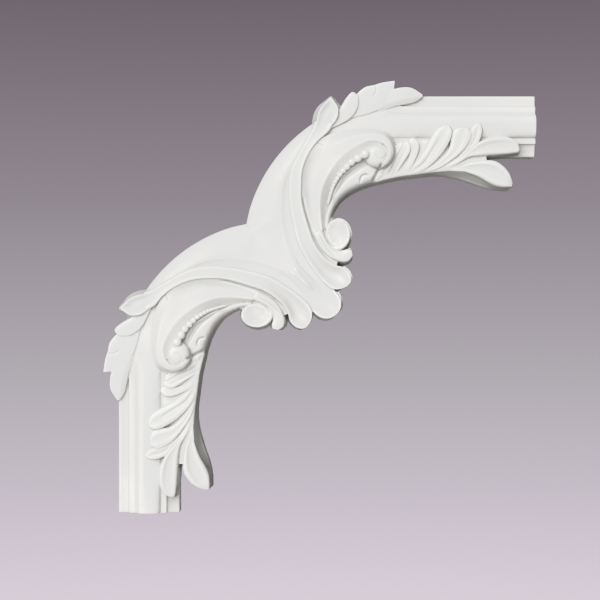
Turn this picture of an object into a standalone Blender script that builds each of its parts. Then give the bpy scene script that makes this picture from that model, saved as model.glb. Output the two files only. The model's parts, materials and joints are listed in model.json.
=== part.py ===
"""Moulding corner piece: a cast corner for a panel moulding, with an ogee outer line and carved leafwork.

The piece stands as it hangs on a wall. X runs to the right and Z up, the flat back lies in the plane
Y = 0, and the relief rises towards -Y. It is the same on both sides of the diagonal through the origin,
so every form is drawn once, for the upper arm, and a mirror across the diagonal makes the other arm.
Each form is a closed solid of its own that runs through the back. A union makes them one body, a cut
makes the back flat, and the mirror joins the two arms.
"""

import math

import bmesh
import bpy
import numpy as np

MM = 0.001

# Moulding, in millimetres
ARM_REACH = 207.5
OUTER_LINE = 135.0
TURN_START = 97.5
TURN_RADIUS = 130.0
MOULDING_WIDTH = 50.0
FASCIA_WIDTH = 8.5
STEP_WIDTH = 6.2
BELLY_WIDTH = 19.8
FILLET_WIDTH = 5.3
FASCIA_HEIGHT = 9.0
STEP_HEIGHT = 12.4
BELLY_FOOT = 13.2
BELLY_HEIGHT = 18.0
FILLET_HEIGHT = 13.0
COVE_HEIGHT = 9.4
LIP_HEIGHT = 10.2
EDGE_ROUND = 0.8
STEP_LEAN = 0.3
BELLY_STEPS = 7
TURN_RUN = 70.0
TURN_STEPS = 5

# Carving: its drawing unit in plan, and the heights of its forms above the wall, in millimetres
DRAWING_UNIT = 1.0
GROUND_HEIGHT = 12.0
SHOULDER_HEIGHT = 17.5
OUTER_LEAF_HEIGHT = 18.0
TEARDROP_HEIGHT = 22.0
FROND_HEIGHT = 24.0
SCROLL_HEIGHT = 28.5
LOBE_HEIGHT = 26.5
LEAF_HEIGHT = 23.0
BEAD_HEIGHT = 19.5

# Beads, in millimetres
BEAD_COUNT = 10
FIRST_BEAD_RADIUS = 3.6
BEAD_SHRINK = 0.88
BEAD_GAP = 0.1
BEAD_SIDES = 8
BEAD_LEVELS = 2

# Casting: the slope of the sides, and how far the forms run through the back before it is cut
DRAFT = math.tan(math.radians(5.0))
TEARDROP_SLOPE = math.tan(math.radians(11.0))
SINK = 2.0
SINK_STEP = 0.05

WHITE = (0.82, 0.81, 0.80, 1.0)
ROUGHNESS = 0.55

# Sections across a form: (place across, share of the way from the left height to the right one,
# share of the rib's swell, share of the rib's dip)
CROWNED = [(0, 0, 0, 0), (0.2, 0.2, 0.7, 0), (0.5, 0.5, 1, 0), (0.8, 0.8, 0.7, 0), (1, 1, 0, 0)]
CREASED = [(0, 0, 0, 0), (0.25, 0.25, 1, 0), (0.5, 0.5, 0.5, 0), (0.75, 0.75, 1, 0), (1, 1, 0, 0)]
VALLEY = [(0, 0, 0, 0), (0.25, 0.2, 0, 0.8), (0.55, 0.45, 0, 1), (0.85, 0.85, 0, 0.2), (1, 1, 0, 0)]
FROND = [(0, 0, 0, 0), (0.13, 0, 0.4, 0.2), (0.32, 0.2, -0.5, 0.8), (0.62, 0.6, 0.3, 1), (0.9, 1, 0.5, 0.15),
         (1, 1, 0, 0)]
COVE = [(0, 0, 0, 0), (0.2, 0.55, 0, 0), (0.45, 0.95, 0, 0), (1, 1, 0, 0)]
FLAT = [(0, 0, 0, 0), (1, 1, 0, 0)]
ROLLED = [(0, 0, 0, 0), (0.25, 0.1, -0.2, 0), (0.45, 0.45, 0.4, 0), (0.65, 0.85, 1, 0), (0.88, 1, 0.8, 0),
          (1, 1, 0, 0)]


def smooth_rows(rows, count):
    """Spread `count` rows evenly along a smooth curve through the rows that are given."""
    keys = np.asarray(rows, dtype=float)
    padded = np.vstack([2 * keys[0] - keys[1], keys, 2 * keys[-1] - keys[-2]])
    places = np.linspace(0, len(keys) - 1, count)
    span = np.minimum(places.astype(int), len(keys) - 2)
    t = (places - span)[:, None]
    before, start, stop, after = (padded[span + k] for k in range(4))
    return 0.5 * (2 * start + (stop - before) * t + (2 * before - 5 * start + 4 * stop - after) * t ** 2
                  + (3 * start - before - 3 * stop + after) * t ** 3)


def new_form(name, vertices, faces):
    """Make a closed mesh from plan places and heights in millimetres, with its faces pointing out."""
    mesh = bpy.data.meshes.new(name)
    mesh.from_pydata([(x * MM, -h * MM, z * MM) for x, z, h in vertices], [], faces)
    work = bmesh.new()
    work.from_mesh(mesh)
    bmesh.ops.remove_doubles(work, verts=work.verts, dist=1e-7)
    bmesh.ops.recalc_face_normals(work, faces=work.faces)
    work.to_mesh(mesh)
    work.free()
    made = bpy.data.objects.new(name, mesh)
    forms.objects.link(made)
    made.hide_render = True
    made.display_type = "WIRE"
    return made


def form_depth():
    """Each form runs a little deeper than the last, so that no two bottoms lie in one plane."""
    return SINK + SINK_STEP * len(forms.objects)


def skin(name, sections):
    """Skin a row of closed sections, each a loop of (x, z, height), and cap both ends."""
    around = len(sections[0])
    vertices = [tuple(place) for section in sections for place in section]
    faces = []
    for row in range(len(sections) - 1):
        for k in range(around):
            a = row * around + k
            b = row * around + (k + 1) % around
            faces.append((a, b, b + around, a + around))
    last = (len(sections) - 1) * around
    faces.append(tuple(range(around)))
    faces.append(tuple(range(last, last + around)))
    return new_form(name, vertices, faces)


def strip(name, height, section, stations, ribs):
    """Skin a long form over its ribs.

    A rib is (left x, left z, right x, right z, left height, right height, swell, dip). Plan places are
    in drawing units, and heights are counted from `height`, the form's own height above the wall.
    """
    depth = form_depth()
    sections = []
    for lx, lz, rx, rz, left_rise, right_rise, swell, dip in smooth_rows(ribs, stations):
        left = np.array([lx, lz]) * DRAWING_UNIT
        right = np.array([rx, rz]) * DRAWING_UNIT
        outward = (right - left) / np.hypot(*(right - left)) * DRAFT
        loop = [(*(left - outward * (height + left_rise + depth)), -depth)]
        for across, share, up, down in section:
            place = left + (right - left) * across
            rise = left_rise + (right_rise - left_rise) * share + swell * up - dip * down
            loop.append((*place, height + rise))
        loop.append((*(right + outward * (height + right_rise + depth)), -depth))
        sections.append(loop)
    return skin(name, sections)


def leaf(name, height, section, stations, spine):
    """A leaf over its spine, drawn from base to tip as (x, z, half width, height, swell)."""
    rows = smooth_rows(spine, stations)
    run = np.gradient(rows[:, :2], axis=0)
    run /= np.hypot(run[:, 0], run[:, 1])[:, None]
    ribs = []
    for (x, z, half, rise, swell), (dx, dz) in zip(rows, run):
        ribs.append((x - dz * half, z + dx * half, x + dz * half, z - dx * half, rise, rise, swell, 0))
    return strip(name, height, section, stations, ribs)


def dish(name, height, centre, outline, rings, slope):
    """Skin a round form over an outline of (x, z, rim), closed round its centre, in drawing units.

    A ring is (share of the way out, low, high): a point of the outline with no rim takes the low
    height there and a point with a full rim the high one, both counted from `height`. The wall under
    the outline leans out by `slope`.
    """
    depth = form_depth()
    middle = np.array(centre) * DRAWING_UNIT
    places = [np.array([x, z]) * DRAWING_UNIT for x, z, rim in outline]
    rims = [rim for x, z, rim in outline]
    around = len(outline)
    vertices = []
    for place in places:
        outward = (place - middle) / np.hypot(*(place - middle)) * slope
        vertices.append((*(place + outward * (height + depth)), -depth))
    for share, low, high in rings:
        for place, rim in zip(places, rims):
            vertices.append((*(middle + (place - middle) * share), height + low + (high - low) * rim))
    faces = [tuple(range(around))]
    for row in range(len(rings)):
        for k in range(around):
            a = row * around + k
            b = row * around + (k + 1) % around
            faces.append((a, b, b + around, a + around))
    last = len(rings) * around
    faces.append(tuple(range(last, last + around)))
    return new_form(name, vertices, faces)


def oval(centre, radii, count, open_towards=None):
    """An ellipse in plan, whose rim fades out on the side that `open_towards` gives, in degrees."""
    outline = []
    for k in range(count):
        angle = 2 * math.pi * k / count
        rim = 1.0
        if open_towards is not None:
            rim = min(1.0, max(0.0, 0.7 - math.cos(angle - math.radians(open_towards))))
        outline.append((centre[0] + radii[0] * math.cos(angle), centre[1] + radii[1] * math.sin(angle), rim))
    return outline


def edge_place(run, inset):
    """A place on the moulding: `run` counts from the start of the turn, out along the arm when positive."""
    if run >= 0:
        return TURN_START + run, OUTER_LINE - inset
    angle = -run / TURN_RADIUS
    reach = TURN_RADIUS - inset
    return TURN_START - reach * math.sin(angle), OUTER_LINE - TURN_RADIUS + reach * math.cos(angle)


def moulding_profile():
    """The moulding across its width: (inset from the outer edge, height above the wall)."""
    step = FASCIA_WIDTH + STEP_WIDTH
    fillet = step + BELLY_WIDTH
    cove = fillet + FILLET_WIDTH
    profile = [(0.0, FASCIA_HEIGHT - EDGE_ROUND), (EDGE_ROUND, FASCIA_HEIGHT), (FASCIA_WIDTH, FASCIA_HEIGHT)]
    profile += [(FASCIA_WIDTH + STEP_LEAN, STEP_HEIGHT), (step, STEP_HEIGHT)]
    for k in range(BELLY_STEPS + 1):
        t = k / BELLY_STEPS
        swell = (BELLY_HEIGHT - BELLY_FOOT) * math.sin(math.pi * t)
        profile.append((step + STEP_LEAN + (BELLY_WIDTH - 2 * STEP_LEAN) * t, BELLY_FOOT + swell))
    profile += [(fillet, FILLET_HEIGHT), (cove, FILLET_HEIGHT), (cove + STEP_LEAN, COVE_HEIGHT)]
    profile += [(MOULDING_WIDTH - EDGE_ROUND, LIP_HEIGHT), (MOULDING_WIDTH, LIP_HEIGHT - EDGE_ROUND)]
    return profile


def add_moulding():
    """The moulding's run: straight from the arm's square end, then a short way round the turn."""
    depth = form_depth()
    profile = moulding_profile()
    loop = [(-DRAFT * (profile[0][1] + depth), -depth)] + profile
    loop.append((MOULDING_WIDTH + DRAFT * (profile[-1][1] + depth), -depth))
    runs = [ARM_REACH - TURN_START] + [-TURN_RUN * k / TURN_STEPS for k in range(TURN_STEPS + 1)]
    skin("form_moulding", [[(*edge_place(run, inset), h) for inset, h in loop] for run in runs])


def add_shoulder():
    """The swelling plate between the outer arc and the frond, over the notch and down to the crest."""
    arc = [edge_place(-run, 0.0) for run in (66, 82, 99, 116, 133, 150, 166, 183)]
    inner = [(27, 106), (20.5, 97), (13.5, 87), (7, 76), (1.8, 65), (-0.8, 54.5), (-1.5, 44), (-1.3, 34)]
    ribs = [(*outer, *shoulder, -8.5, 0.15 * k, 3.0, 0) for k, (outer, shoulder) in enumerate(zip(arc, inner))]
    ribs += [
        (-33, 24, 0.2, 24, -5.5, 1.4, 0.7, 0),
        (-26, 15, 2.6, 14.5, -1.3, 2.0, 0.1, 0),
        (-15, 4, 6, 5, 1.2, 2.8, 0.2, 0),
        (-4, -6, 9.6, -3.6, 2.8, 4.0, 0.5, 0),
        (5, -13, 12.6, -10.6, 4.6, 5.2, 0.4, 0),
        (12, -20, 18.6, -17.2, 5.4, 5.6, 0.2, 0),
    ]
    strip("form_shoulder", SHOULDER_HEIGHT, CROWNED, 21, ribs)


def add_valley():
    """The hollow beside the frond, which runs down past the crest into the lobe on the diagonal."""
    strip("form_valley", SHOULDER_HEIGHT, VALLEY, 23, [
        (3, 78, 12, 80, -3.5, -2.5, 0, 0),
        (-3, 62, 9, 63, -3.5, -2.5, 0, 0.4),
        (-4, 44, 9, 44, -3.5, -2.5, 0, 0.4),
        (-3, 30, 12, 27, -3, -2, 0, 0.4),
        (0, 14, 18, 9, -2, -1, 0, 0.4),
        (5, -1, 26, -6, 0.5, 0, 0, 1.0),
        (8, -13, 33, -15, 5.4, 1.5, 0, 2.8),
        (17.5, -22, 39.5, -22, 4.8, 4.0, 0, 2.8),
        (27, -31, 43.8, -26.5, 4.4, 7.0, 0, 2.4),
        (32.5, -37.5, 47.2, -31.8, 5.0, 8.6, 0, 2.2),
        (35.5, -42, 47.8, -37.3, 6.0, 9.0, 0, 2.0),
        (37, -45.5, 46.2, -41.6, 7.5, 9.0, 0, 1.2),
        (37, -48.5, 43, -45.5, 9.0, 9.0, 0, 0.4),
        (36.5, -49.5, 39.5, -47.8, 9.0, 9.0, 0, 0),
    ])


def add_frond():
    """The long leaf that leaves the teardrop, sweeps past the scroll and widens into the third lobe."""
    strip("form_frond", FROND_HEIGHT, FROND, 26, [
        (26.5, 113, 41, 111, -4, -3, 0, 1.5),
        (24.2, 106, 37, 104.5, -4, -3, 0.3, 0.8),
        (19.2, 97.5, 30.2, 96.5, -4, -2, 0.6, 0),
        (12.8, 86, 23.2, 86, -3.5, -1, 0.8, 0),
        (7.4, 74, 17.8, 74, -3, 0, 1, 0),
        (5.4, 61, 15.9, 61, -3, 0.5, 1, 0),
        (5.8, 47, 17, 46, -3, 0.8, 1, 0),
        (9, 30, 20.8, 30.5, -2.5, 1, 1, 0),
        (14.4, 12.5, 26.8, 14, -2, 1.2, 0.8, 0),
        (21.5, -2.5, 34.8, 1.5, -1.5, 1.5, 0.4, 0.8),
        (29.5, -13.5, 43.2, -4.3, -0.5, 2.2, 0, 2.4),
        (35.5, -20, 50, -6.3, 1, 2.5, 0, 3.6),
        (41, -23.6, 54.4, -10.5, 2.2, 2.5, 0, 3.2),
        (47, -23.8, 56, -15.5, 2.5, 2.5, 0, 1.8),
        (51.8, -21.8, 55, -19, 2.2, 2.2, 0, 0.3),
    ])


def add_shell():
    """The large lobe by the scroll, and the small hook that curls up under it."""
    rim = [(1.0, -3.4, -1.4), (0.9, -3.4, -0.2), (0.75, -3.5, -0.2), (0.4, -3.6, -1.8)]
    middle = (45.3, 20.7)
    dish("form_lobe", LOBE_HEIGHT, middle, oval(middle, (9.8, 12.6), 16, 185), rim, DRAFT)
    strip("form_hook", LOBE_HEIGHT, CROWNED, 11, [
        (25, 21, 30.5, 24, -3, -3, 0.6, 0),
        (31.5, 9.5, 36, 13.5, -2.5, -2.5, 0.8, 0),
        (38.5, 2.5, 42, 8, -2, -3, 1, 0),
        (46.5, -1.2, 47.5, 5.5, -1.5, -2.5, 0.8, 0),
        (53.5, -1.3, 52.5, 7.5, -1.5, -1.5, 0.8, 0),
        (57.3, 2.5, 55.5, 7.2, -2, -2, 0.4, 0),
    ])
    strip("form_hook_floor", GROUND_HEIGHT, FLAT, 6, [
        (20, 26, 29, 26, 6, 6, 0, 0),
        (26, 10, 34, 12.5, 7.5, 7.5, 0, 0),
        (34, -1, 41, 4, 8, 8, 0, 0),
        (43, -6.5, 47.5, 1.5, 8, 8, 0, 0),
    ])


def add_scroll():
    """The C-scroll: a ridge that rises out of the shell, turns over the top and curls into its volute."""
    strip("form_scroll", SCROLL_HEIGHT, ROLLED, 27, [
        (28, 6, 38.5, 10.5, -8, -4, 0.5, 0),
        (23, 16.5, 36, 15, -8, -3.5, 0.8, 0),
        (18, 29, 33, 24.5, -9, -3, 1, 0),
        (15, 41, 30.8, 36.5, -10, -2.5, 1.2, 0),
        (14, 53, 30.2, 49, -10.5, -2, 1.4, 0),
        (15.5, 69, 32.7, 61, -10.5, -1.5, 1.4, 0),
        (20.5, 84.5, 38.5, 72, -10.5, -1, 1.3, 0),
        (29.5, 97, 46.8, 82.3, -10.5, -0.5, 1.2, 0),
        (43, 104.5, 56.5, 89.8, -10.7, 0, 1, 0),
        (59, 106.5, 66.5, 94.8, -11, 0, 1, 0),
        (73.5, 107, 73.6, 96.2, -11.5, 0, 1, 0),
        (84.3, 104.4, 80.4, 94.6, -12, 0, 1, 0),
        (90.2, 97.6, 84.8, 90.8, -12.5, 0, 1, 0),
        (92.6, 88.8, 86, 86, -13, 0, 1, 0),
        (90.2, 80.6, 84.2, 81.6, -13, -0.5, 0.8, 0),
        (85, 75.6, 80.6, 78.2, -12, -1, 0.6, 0),
        (79, 73.4, 76.8, 76.8, -10, -1.5, 0.5, 0),
    ])
    bowl, ball = (77.6, 85.6), (76.5, 83.9)
    dish("form_scroll_bowl", SCROLL_HEIGHT, bowl, oval(bowl, (11, 10.5), 12), [(1.0, -6, -6)], DRAFT)
    dish("form_scroll_ball", SCROLL_HEIGHT, ball, oval(ball, (9.1, 8.9), 12),
         [(1.0, -5.5, -5.5), (0.9, -2.6, -2.6), (0.68, -0.7, -0.7), (0.36, 0.1, 0.1)], DRAFT)


def add_ground():
    """The grounds between the forms: the hollow behind the beads, the floor of the leaves and the turn."""
    strip("form_hollow", GROUND_HEIGHT, COVE, 14, [
        (29, 29, 36, 27.5, 0, 0, 0, 0),
        (28.5, 42, 39, 39, 3, 2, 0, 0),
        (29, 53, 44, 50, 6, 4, 0, 0),
        (32.5, 65, 50, 57, 9, 5.5, 0, 0),
        (39, 76, 59, 61, 11, 6, 0, 0),
        (48.5, 86, 68, 64, 12, 6, 0, 0),
        (60, 93.5, 76, 66, 12, 5, 0, 0),
        (72, 97, 83, 67, 10, 3, 0, 0),
    ])
    strip("form_floor", GROUND_HEIGHT, FLAT, 7, [
        (72, 92, 75, 66.8, 4, 2, 0, 0),
        (100, 92, 96, 68.8, 3, 2, 0, 0),
        (122, 90, 120, 71.6, 3, 2, 0, 0),
        (146, 89, 140, 73.4, 3, 2, 0, 0),
        (160, 88, 156, 78, 2, 2, 0, 0),
    ])
    strip("form_swell", BELLY_HEIGHT, CROWNED, 9, [
        (40, 113, 36, 88, -4, 0, 1, 0),
        (56, 119, 52, 92, -4, 0, 1, 0),
        (72, 121, 72, 98, -4, 0, 1, 0),
        (86, 119, 87, 106, -4.2, -1.2, 1.2, 0),
        (97, 114.5, 97, 108.5, -3.2, -2.5, 0, 0),
    ])


def add_beads():
    """A string of beads that shrink evenly, laid along the scroll's hollow."""
    string = smooth_rows([(67, 84.8), (60.9, 81.2), (52.1, 74.4), (45.6, 66.7), (41.6, 59.8), (38.2, 52.1)], 200)
    way = np.concatenate([[0], np.cumsum(np.hypot(*np.diff(string, axis=0).T))]) * DRAWING_UNIT
    radius = FIRST_BEAD_RADIUS
    along = 0.0
    vertices, faces = [], []
    depth = form_depth()
    for _ in range(BEAD_COUNT):
        x, z = (np.interp(along, way, string[:, k]) * DRAWING_UNIT for k in (0, 1))
        first = len(vertices)
        loops = [(1.0, -depth), (1.0, BEAD_HEIGHT)]
        for level in range(1, BEAD_LEVELS):
            lift = 0.5 * math.pi * level / BEAD_LEVELS
            loops.append((math.cos(lift), BEAD_HEIGHT + radius * math.sin(lift)))
        for share, h in loops:
            for k in range(BEAD_SIDES):
                angle = 2 * math.pi * k / BEAD_SIDES
                vertices.append((x + radius * share * math.cos(angle), z + radius * share * math.sin(angle), h))
        vertices.append((x, z, BEAD_HEIGHT + radius))
        faces.append(tuple(first + k for k in range(BEAD_SIDES)))
        for row in range(len(loops) - 1):
            for k in range(BEAD_SIDES):
                a = first + row * BEAD_SIDES + k
                b = first + row * BEAD_SIDES + (k + 1) % BEAD_SIDES
                faces.append((a, b, b + BEAD_SIDES, a + BEAD_SIDES))
        top = first + (len(loops) - 1) * BEAD_SIDES
        for k in range(BEAD_SIDES):
            faces.append((top + k, top + (k + 1) % BEAD_SIDES, len(vertices) - 1))
        along += radius * (1 + BEAD_SHRINK) + BEAD_GAP
        radius *= BEAD_SHRINK
    new_form("form_beads", vertices, faces)


def add_inner_body():
    """The smooth body between the beads and the open side, ending in a small curl."""
    strip("form_inner_body", LEAF_HEIGHT, CROWNED, 13, [
        (34.8, 26, 36.4, 25.5, -5, -5.5, 0, 0),
        (36.3, 37.5, 38.8, 36, -3, -4, 0.5, 0),
        (40.2, 50, 45.2, 47.5, -2, -4, 1.2, 0),
        (45.2, 58.7, 53, 54.8, -1.5, -4, 1.8, 0),
        (51, 66.2, 61.5, 59.4, -1.2, -4, 2, 0),
        (59, 73, 70, 62.6, -1, -4, 2, 0),
        (66, 77.6, 77.5, 64.8, -1.5, -4, 1.6, 0),
    ])


def add_leaves():
    """The sprays along the open side: five leaves over the moulding and two long ones at the end."""
    strip("form_leaf_stem", LEAF_HEIGHT, CROWNED, 8, [
        (80.5, 77.5, 81, 65.2, -4, -3.5, 0.6, 0),
        (90, 78, 92, 67.2, -3, -3.5, 1, 0),
        (104, 78.5, 105, 69.2, -2.5, -3.5, 1, 0),
        (120, 78.5, 120.5, 71.2, -2, -3.5, 1, 0),
        (136, 80, 137, 72.4, -2, -3, 1, 0),
    ])
    leaf("form_leaf_first", LEAF_HEIGHT, CREASED, 6, [
        (84, 68, 2.5, -3, 0.3), (90, 79, 5.4, -3, 0.7), (95, 89, 5.6, -3, 0.7), (98.6, 97.4, 1.6, -4.5, 0.2)])
    leaf("form_leaf_second", LEAF_HEIGHT, CREASED, 7, [
        (91, 69, 2.0, -3, 0.3), (99.3, 79.5, 5.6, -2, 0.7), (105.8, 90, 6.8, -2, 0.8), (108, 100, 2.8, -4, 0.3)])
    leaf("form_leaf_third", LEAF_HEIGHT, CREASED, 8, [
        (97.5, 69.8, 1.2, -2.5, 0.3), (113.2, 82.2, 6.0, -1.5, 0.8), (124.2, 95, 8.8, -1.5, 1.0),
        (131.5, 104, 7.4, -2, 0.8), (135.6, 110.2, 2.6, -3.5, 0.2)])
    leaf("form_leaf_fourth", LEAF_HEIGHT, CREASED, 8, [
        (111.5, 70.8, 1.0, -2.5, 0.3), (130, 81.6, 4.8, -1.2, 0.7), (141.4, 92.6, 7.6, -1.5, 0.9),
        (147, 102, 7.2, -2, 0.8), (149, 109, 3.2, -3.5, 0.2)])
    leaf("form_leaf_fifth", LEAF_HEIGHT, CREASED, 7, [
        (128, 75.2, 1.0, -2.5, 0.2), (146, 87, 3.4, -1.2, 0.5), (155.6, 99, 5.2, -2, 0.7),
        (159, 107, 4.2, -3, 0.6), (161, 113.4, 0.8, -5, 0.2)])
    strip("form_leaf_sixth", LEAF_HEIGHT, CROWNED, 11, [
        (120, 73, 121.5, 71.6, -2.5, -3, 0.4, 0),
        (138, 82.5, 140, 79.6, 0, -1, 0.8, 0),
        (151.5, 90.5, 153, 84.6, 0.5, -0.5, 1.2, 0),
        (161.5, 97.6, 165.5, 85.5, 0.5, -0.5, 1.5, 0),
        (176, 101.2, 178, 86, 0, -0.5, 1.5, 0),
        (188, 97.4, 188, 86.8, -1, -1, 1.2, 0),
        (194.4, 90.6, 193.6, 88.2, -2.5, -2.5, 0.4, 0),
    ])
    strip("form_leaf_last", LEAF_HEIGHT, CROWNED, 12, [
        (126, 73.4, 127, 71, -2.5, -3, 0.4, 0),
        (141, 76.8, 143.5, 72.2, -1, -1.5, 0.8, 0),
        (154, 81.2, 155.5, 69.6, 0, -0.5, 1.4, 0),
        (166, 82.8, 165.5, 64.4, 0, 0, 1.6, 0),
        (176.5, 79.2, 173.5, 60.6, 0, 0, 1.6, 0),
        (184, 72.4, 180.5, 58.9, -0.5, -0.5, 1.3, 0),
        (188.2, 62.6, 187, 58.9, -2, -2, 0.4, 0),
    ])


def add_teardrop():
    """The spoon-shaped leaf that stands over the outer edge at the head of the frond."""
    outline = [(28.0, 108, 0), (28.2, 115.5, 0.8), (30.4, 123.4, 1), (34.6, 128.6, 1), (39.4, 131.2, 1),
               (43.8, 128.2, 1), (46.4, 122.3, 1), (44.6, 116, 0.9), (40.2, 109.4, 0.4), (34, 104, 0)]
    ring = [tuple(place) for place in smooth_rows(outline + [outline[0]], 19)[:-1]]
    dish("form_teardrop", TEARDROP_HEIGHT, (36.6, 118), ring,
         [(1.0, -3.5, -0.8), (0.9, -3.5, 0.0), (0.8, -3.5, -0.4), (0.5, -3.5, -2.6)], TEARDROP_SLOPE)


def add_outer_leaf():
    """The flat leaf that lies over the outer edge: a small lobe, a broad body and a long end lobe."""
    strip("form_outer_leaf_first", OUTER_LEAF_HEIGHT, CROWNED, 8, [
        (37, 113, 40.5, 108, 0, 0, 0, 0),
        (44, 118.5, 54, 115, 0, 0, 0.6, 0),
        (48.5, 126, 61, 123.5, 0, 0, 0.8, 0),
        (53.5, 134.2, 61.8, 133, -0.4, -0.4, 0.6, 0),
        (56.8, 137.6, 59, 137, -1.5, -1.5, 0.1, 0),
    ])
    strip("form_outer_leaf_body", OUTER_LEAF_HEIGHT, CROWNED, 12, [
        (54, 118, 52, 113.5, -0.6, -0.6, 0, 0),
        (58.5, 132.4, 58, 116.6, -0.6, -0.6, 1, 0),
        (66.5, 140.8, 70, 119.6, -0.4, -0.6, 1.2, 0),
        (75, 143.2, 81, 124, -0.4, -0.6, 1.2, 0),
        (81.5, 145, 86.5, 128, -0.6, -0.6, 1, 0),
        (92, 146.6, 91.2, 139.5, -1.5, -1.5, 0.3, 0),
    ])
    strip("form_outer_leaf_end", OUTER_LEAF_HEIGHT, CROWNED, 9, [
        (74, 132, 78, 123, -1, -1, 0.4, 0),
        (89.4, 138.5, 92, 129, 0, 0, 0.8, 0),
        (97, 140.7, 101, 130.8, 0.2, 0.2, 0.8, 0),
        (106, 140.5, 108, 132, 0, 0, 0.6, 0),
        (114.4, 135.6, 114.2, 133.4, -1.5, -1.5, 0.1, 0),
    ])


def paint():
    """White primed casting, matt."""
    material = bpy.data.materials.new("primed_white")
    material.use_nodes = True
    shader = material.node_tree.nodes["Principled BSDF"]
    shader.inputs["Base Color"].default_value = WHITE
    shader.inputs["Roughness"].default_value = ROUGHNESS
    shader.inputs["Metallic"].default_value = 0.0
    return material


def box(name, low, high):
    """A plain block between two corners, in millimetres."""
    corners = [(x, y, z) for x in (low[0], high[0]) for y in (low[1], high[1]) for z in (low[2], high[2])]
    faces = [(0, 1, 3, 2), (4, 6, 7, 5), (0, 4, 5, 1), (2, 3, 7, 6), (0, 2, 6, 4), (1, 5, 7, 3)]
    mesh = bpy.data.meshes.new(name)
    mesh.from_pydata([tuple(v * MM for v in corner) for corner in corners], [], faces)
    made = bpy.data.objects.new(name, mesh)
    made.hide_render = True
    made.display_type = "WIRE"
    bpy.context.scene.collection.objects.link(made)
    return made


def join_forms():
    """Unite the forms, cut the back flat and mirror the arm across the diagonal."""
    mesh = bpy.data.meshes.new("moulding_corner")
    mesh.materials.append(paint())
    base = forms.objects["form_moulding"]
    work = bmesh.new()
    work.from_mesh(base.data)
    work.to_mesh(mesh)
    work.free()
    bpy.data.objects.remove(base)
    corner = bpy.data.objects.new("moulding_corner", mesh)
    bpy.context.scene.collection.objects.link(corner)

    union = corner.modifiers.new("unite forms", "BOOLEAN")
    union.operation = "UNION"
    union.solver = "EXACT"
    union.operand_type = "COLLECTION"
    union.collection = forms

    reach = ARM_REACH + 2 * OUTER_LINE
    wall = box("guide_wall", (-reach, 0.0, -reach), (reach, 10 * SINK, reach))
    cut = corner.modifiers.new("flat back", "BOOLEAN")
    cut.operation = "DIFFERENCE"
    cut.solver = "EXACT"
    cut.object = wall

    diagonal = bpy.data.objects.new("guide_diagonal", None)
    diagonal.rotation_euler = (0.0, math.radians(-45.0), 0.0)
    bpy.context.scene.collection.objects.link(diagonal)
    mirror = corner.modifiers.new("other arm", "MIRROR")
    mirror.use_axis = (True, False, False)
    mirror.use_bisect_axis = (True, False, False)
    mirror.mirror_object = diagonal
    mirror.bisect_threshold = 0.000001
    mirror.merge_threshold = 0.000001
    return corner


for old in list(bpy.data.objects):
    bpy.data.objects.remove(old)
forms = bpy.data.collections.new("forms")
bpy.context.scene.collection.children.link(forms)

add_moulding()
add_shoulder()
add_valley()
add_frond()
add_shell()
add_scroll()
add_ground()
add_beads()
add_inner_body()
add_leaves()
add_teardrop()
add_outer_leaf()
join_forms()
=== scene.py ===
# %% [markdown]
# A moulding corner is cast in one piece from white primed polyurethane foam. Two arms of a panel moulding
# meet in an ogee turn, and leaves, C-scrolls, a string of beads and shell lobes are carved over it. It
# could be sculpted with a brush, but then no size could be read or changed. This lesson models the carving
# as closed forms laid over each other, fuses them into one skin as a mould would, and then cuts the fine
# lines with a few chisel strokes.

# %% Load the frame
import math

import bmesh
import bpy
import numpy as np
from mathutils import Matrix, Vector
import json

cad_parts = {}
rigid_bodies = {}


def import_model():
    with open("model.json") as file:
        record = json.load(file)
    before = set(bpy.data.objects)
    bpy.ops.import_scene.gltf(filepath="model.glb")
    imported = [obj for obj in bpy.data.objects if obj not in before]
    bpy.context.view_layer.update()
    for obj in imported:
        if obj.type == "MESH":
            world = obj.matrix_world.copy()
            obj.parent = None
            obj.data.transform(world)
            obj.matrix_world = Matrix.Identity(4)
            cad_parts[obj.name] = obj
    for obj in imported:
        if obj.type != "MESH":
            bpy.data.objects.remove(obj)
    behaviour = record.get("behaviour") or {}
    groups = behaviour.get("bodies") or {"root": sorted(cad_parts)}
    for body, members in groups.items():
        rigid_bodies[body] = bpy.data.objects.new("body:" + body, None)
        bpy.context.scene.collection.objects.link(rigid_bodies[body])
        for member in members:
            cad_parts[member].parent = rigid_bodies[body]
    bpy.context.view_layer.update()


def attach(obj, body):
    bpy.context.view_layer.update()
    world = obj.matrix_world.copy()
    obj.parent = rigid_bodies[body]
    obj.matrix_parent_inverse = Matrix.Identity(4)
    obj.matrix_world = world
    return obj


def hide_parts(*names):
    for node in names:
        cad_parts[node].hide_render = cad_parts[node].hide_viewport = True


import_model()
MM = 0.001

# %% [markdown]
# The photograph looks straight at the wall, level with the lower part of the corner, from a little over
# a metre away. At that distance the sides of the tall forms show as narrow bands that face the middle of
# the picture. A camera that looks along +Y with no shift gives the same view. Its lens follows from the
# size of one pixel at the wall.

# %% Camera
IMAGE_SIZE = 600
PIXEL_AT_WALL = 0.83 * MM
CAMERA_DISTANCE = 1.13
CAMERA_X, CAMERA_Z = 0.0142, -0.0327
SENSOR_WIDTH = 36.0

scene = bpy.context.scene
camera_data = bpy.data.cameras.new("camera")
camera_data.sensor_width = SENSOR_WIDTH
camera_data.lens = SENSOR_WIDTH * CAMERA_DISTANCE / (IMAGE_SIZE * PIXEL_AT_WALL)
camera = bpy.data.objects.new("camera", camera_data)
camera.location = (CAMERA_X, -CAMERA_DISTANCE, CAMERA_Z)
camera.rotation_euler = (math.radians(90), 0, 0)
scene.collection.objects.link(camera)
scene.camera = camera
print("lens", round(camera_data.lens, 1), "mm")

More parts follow.
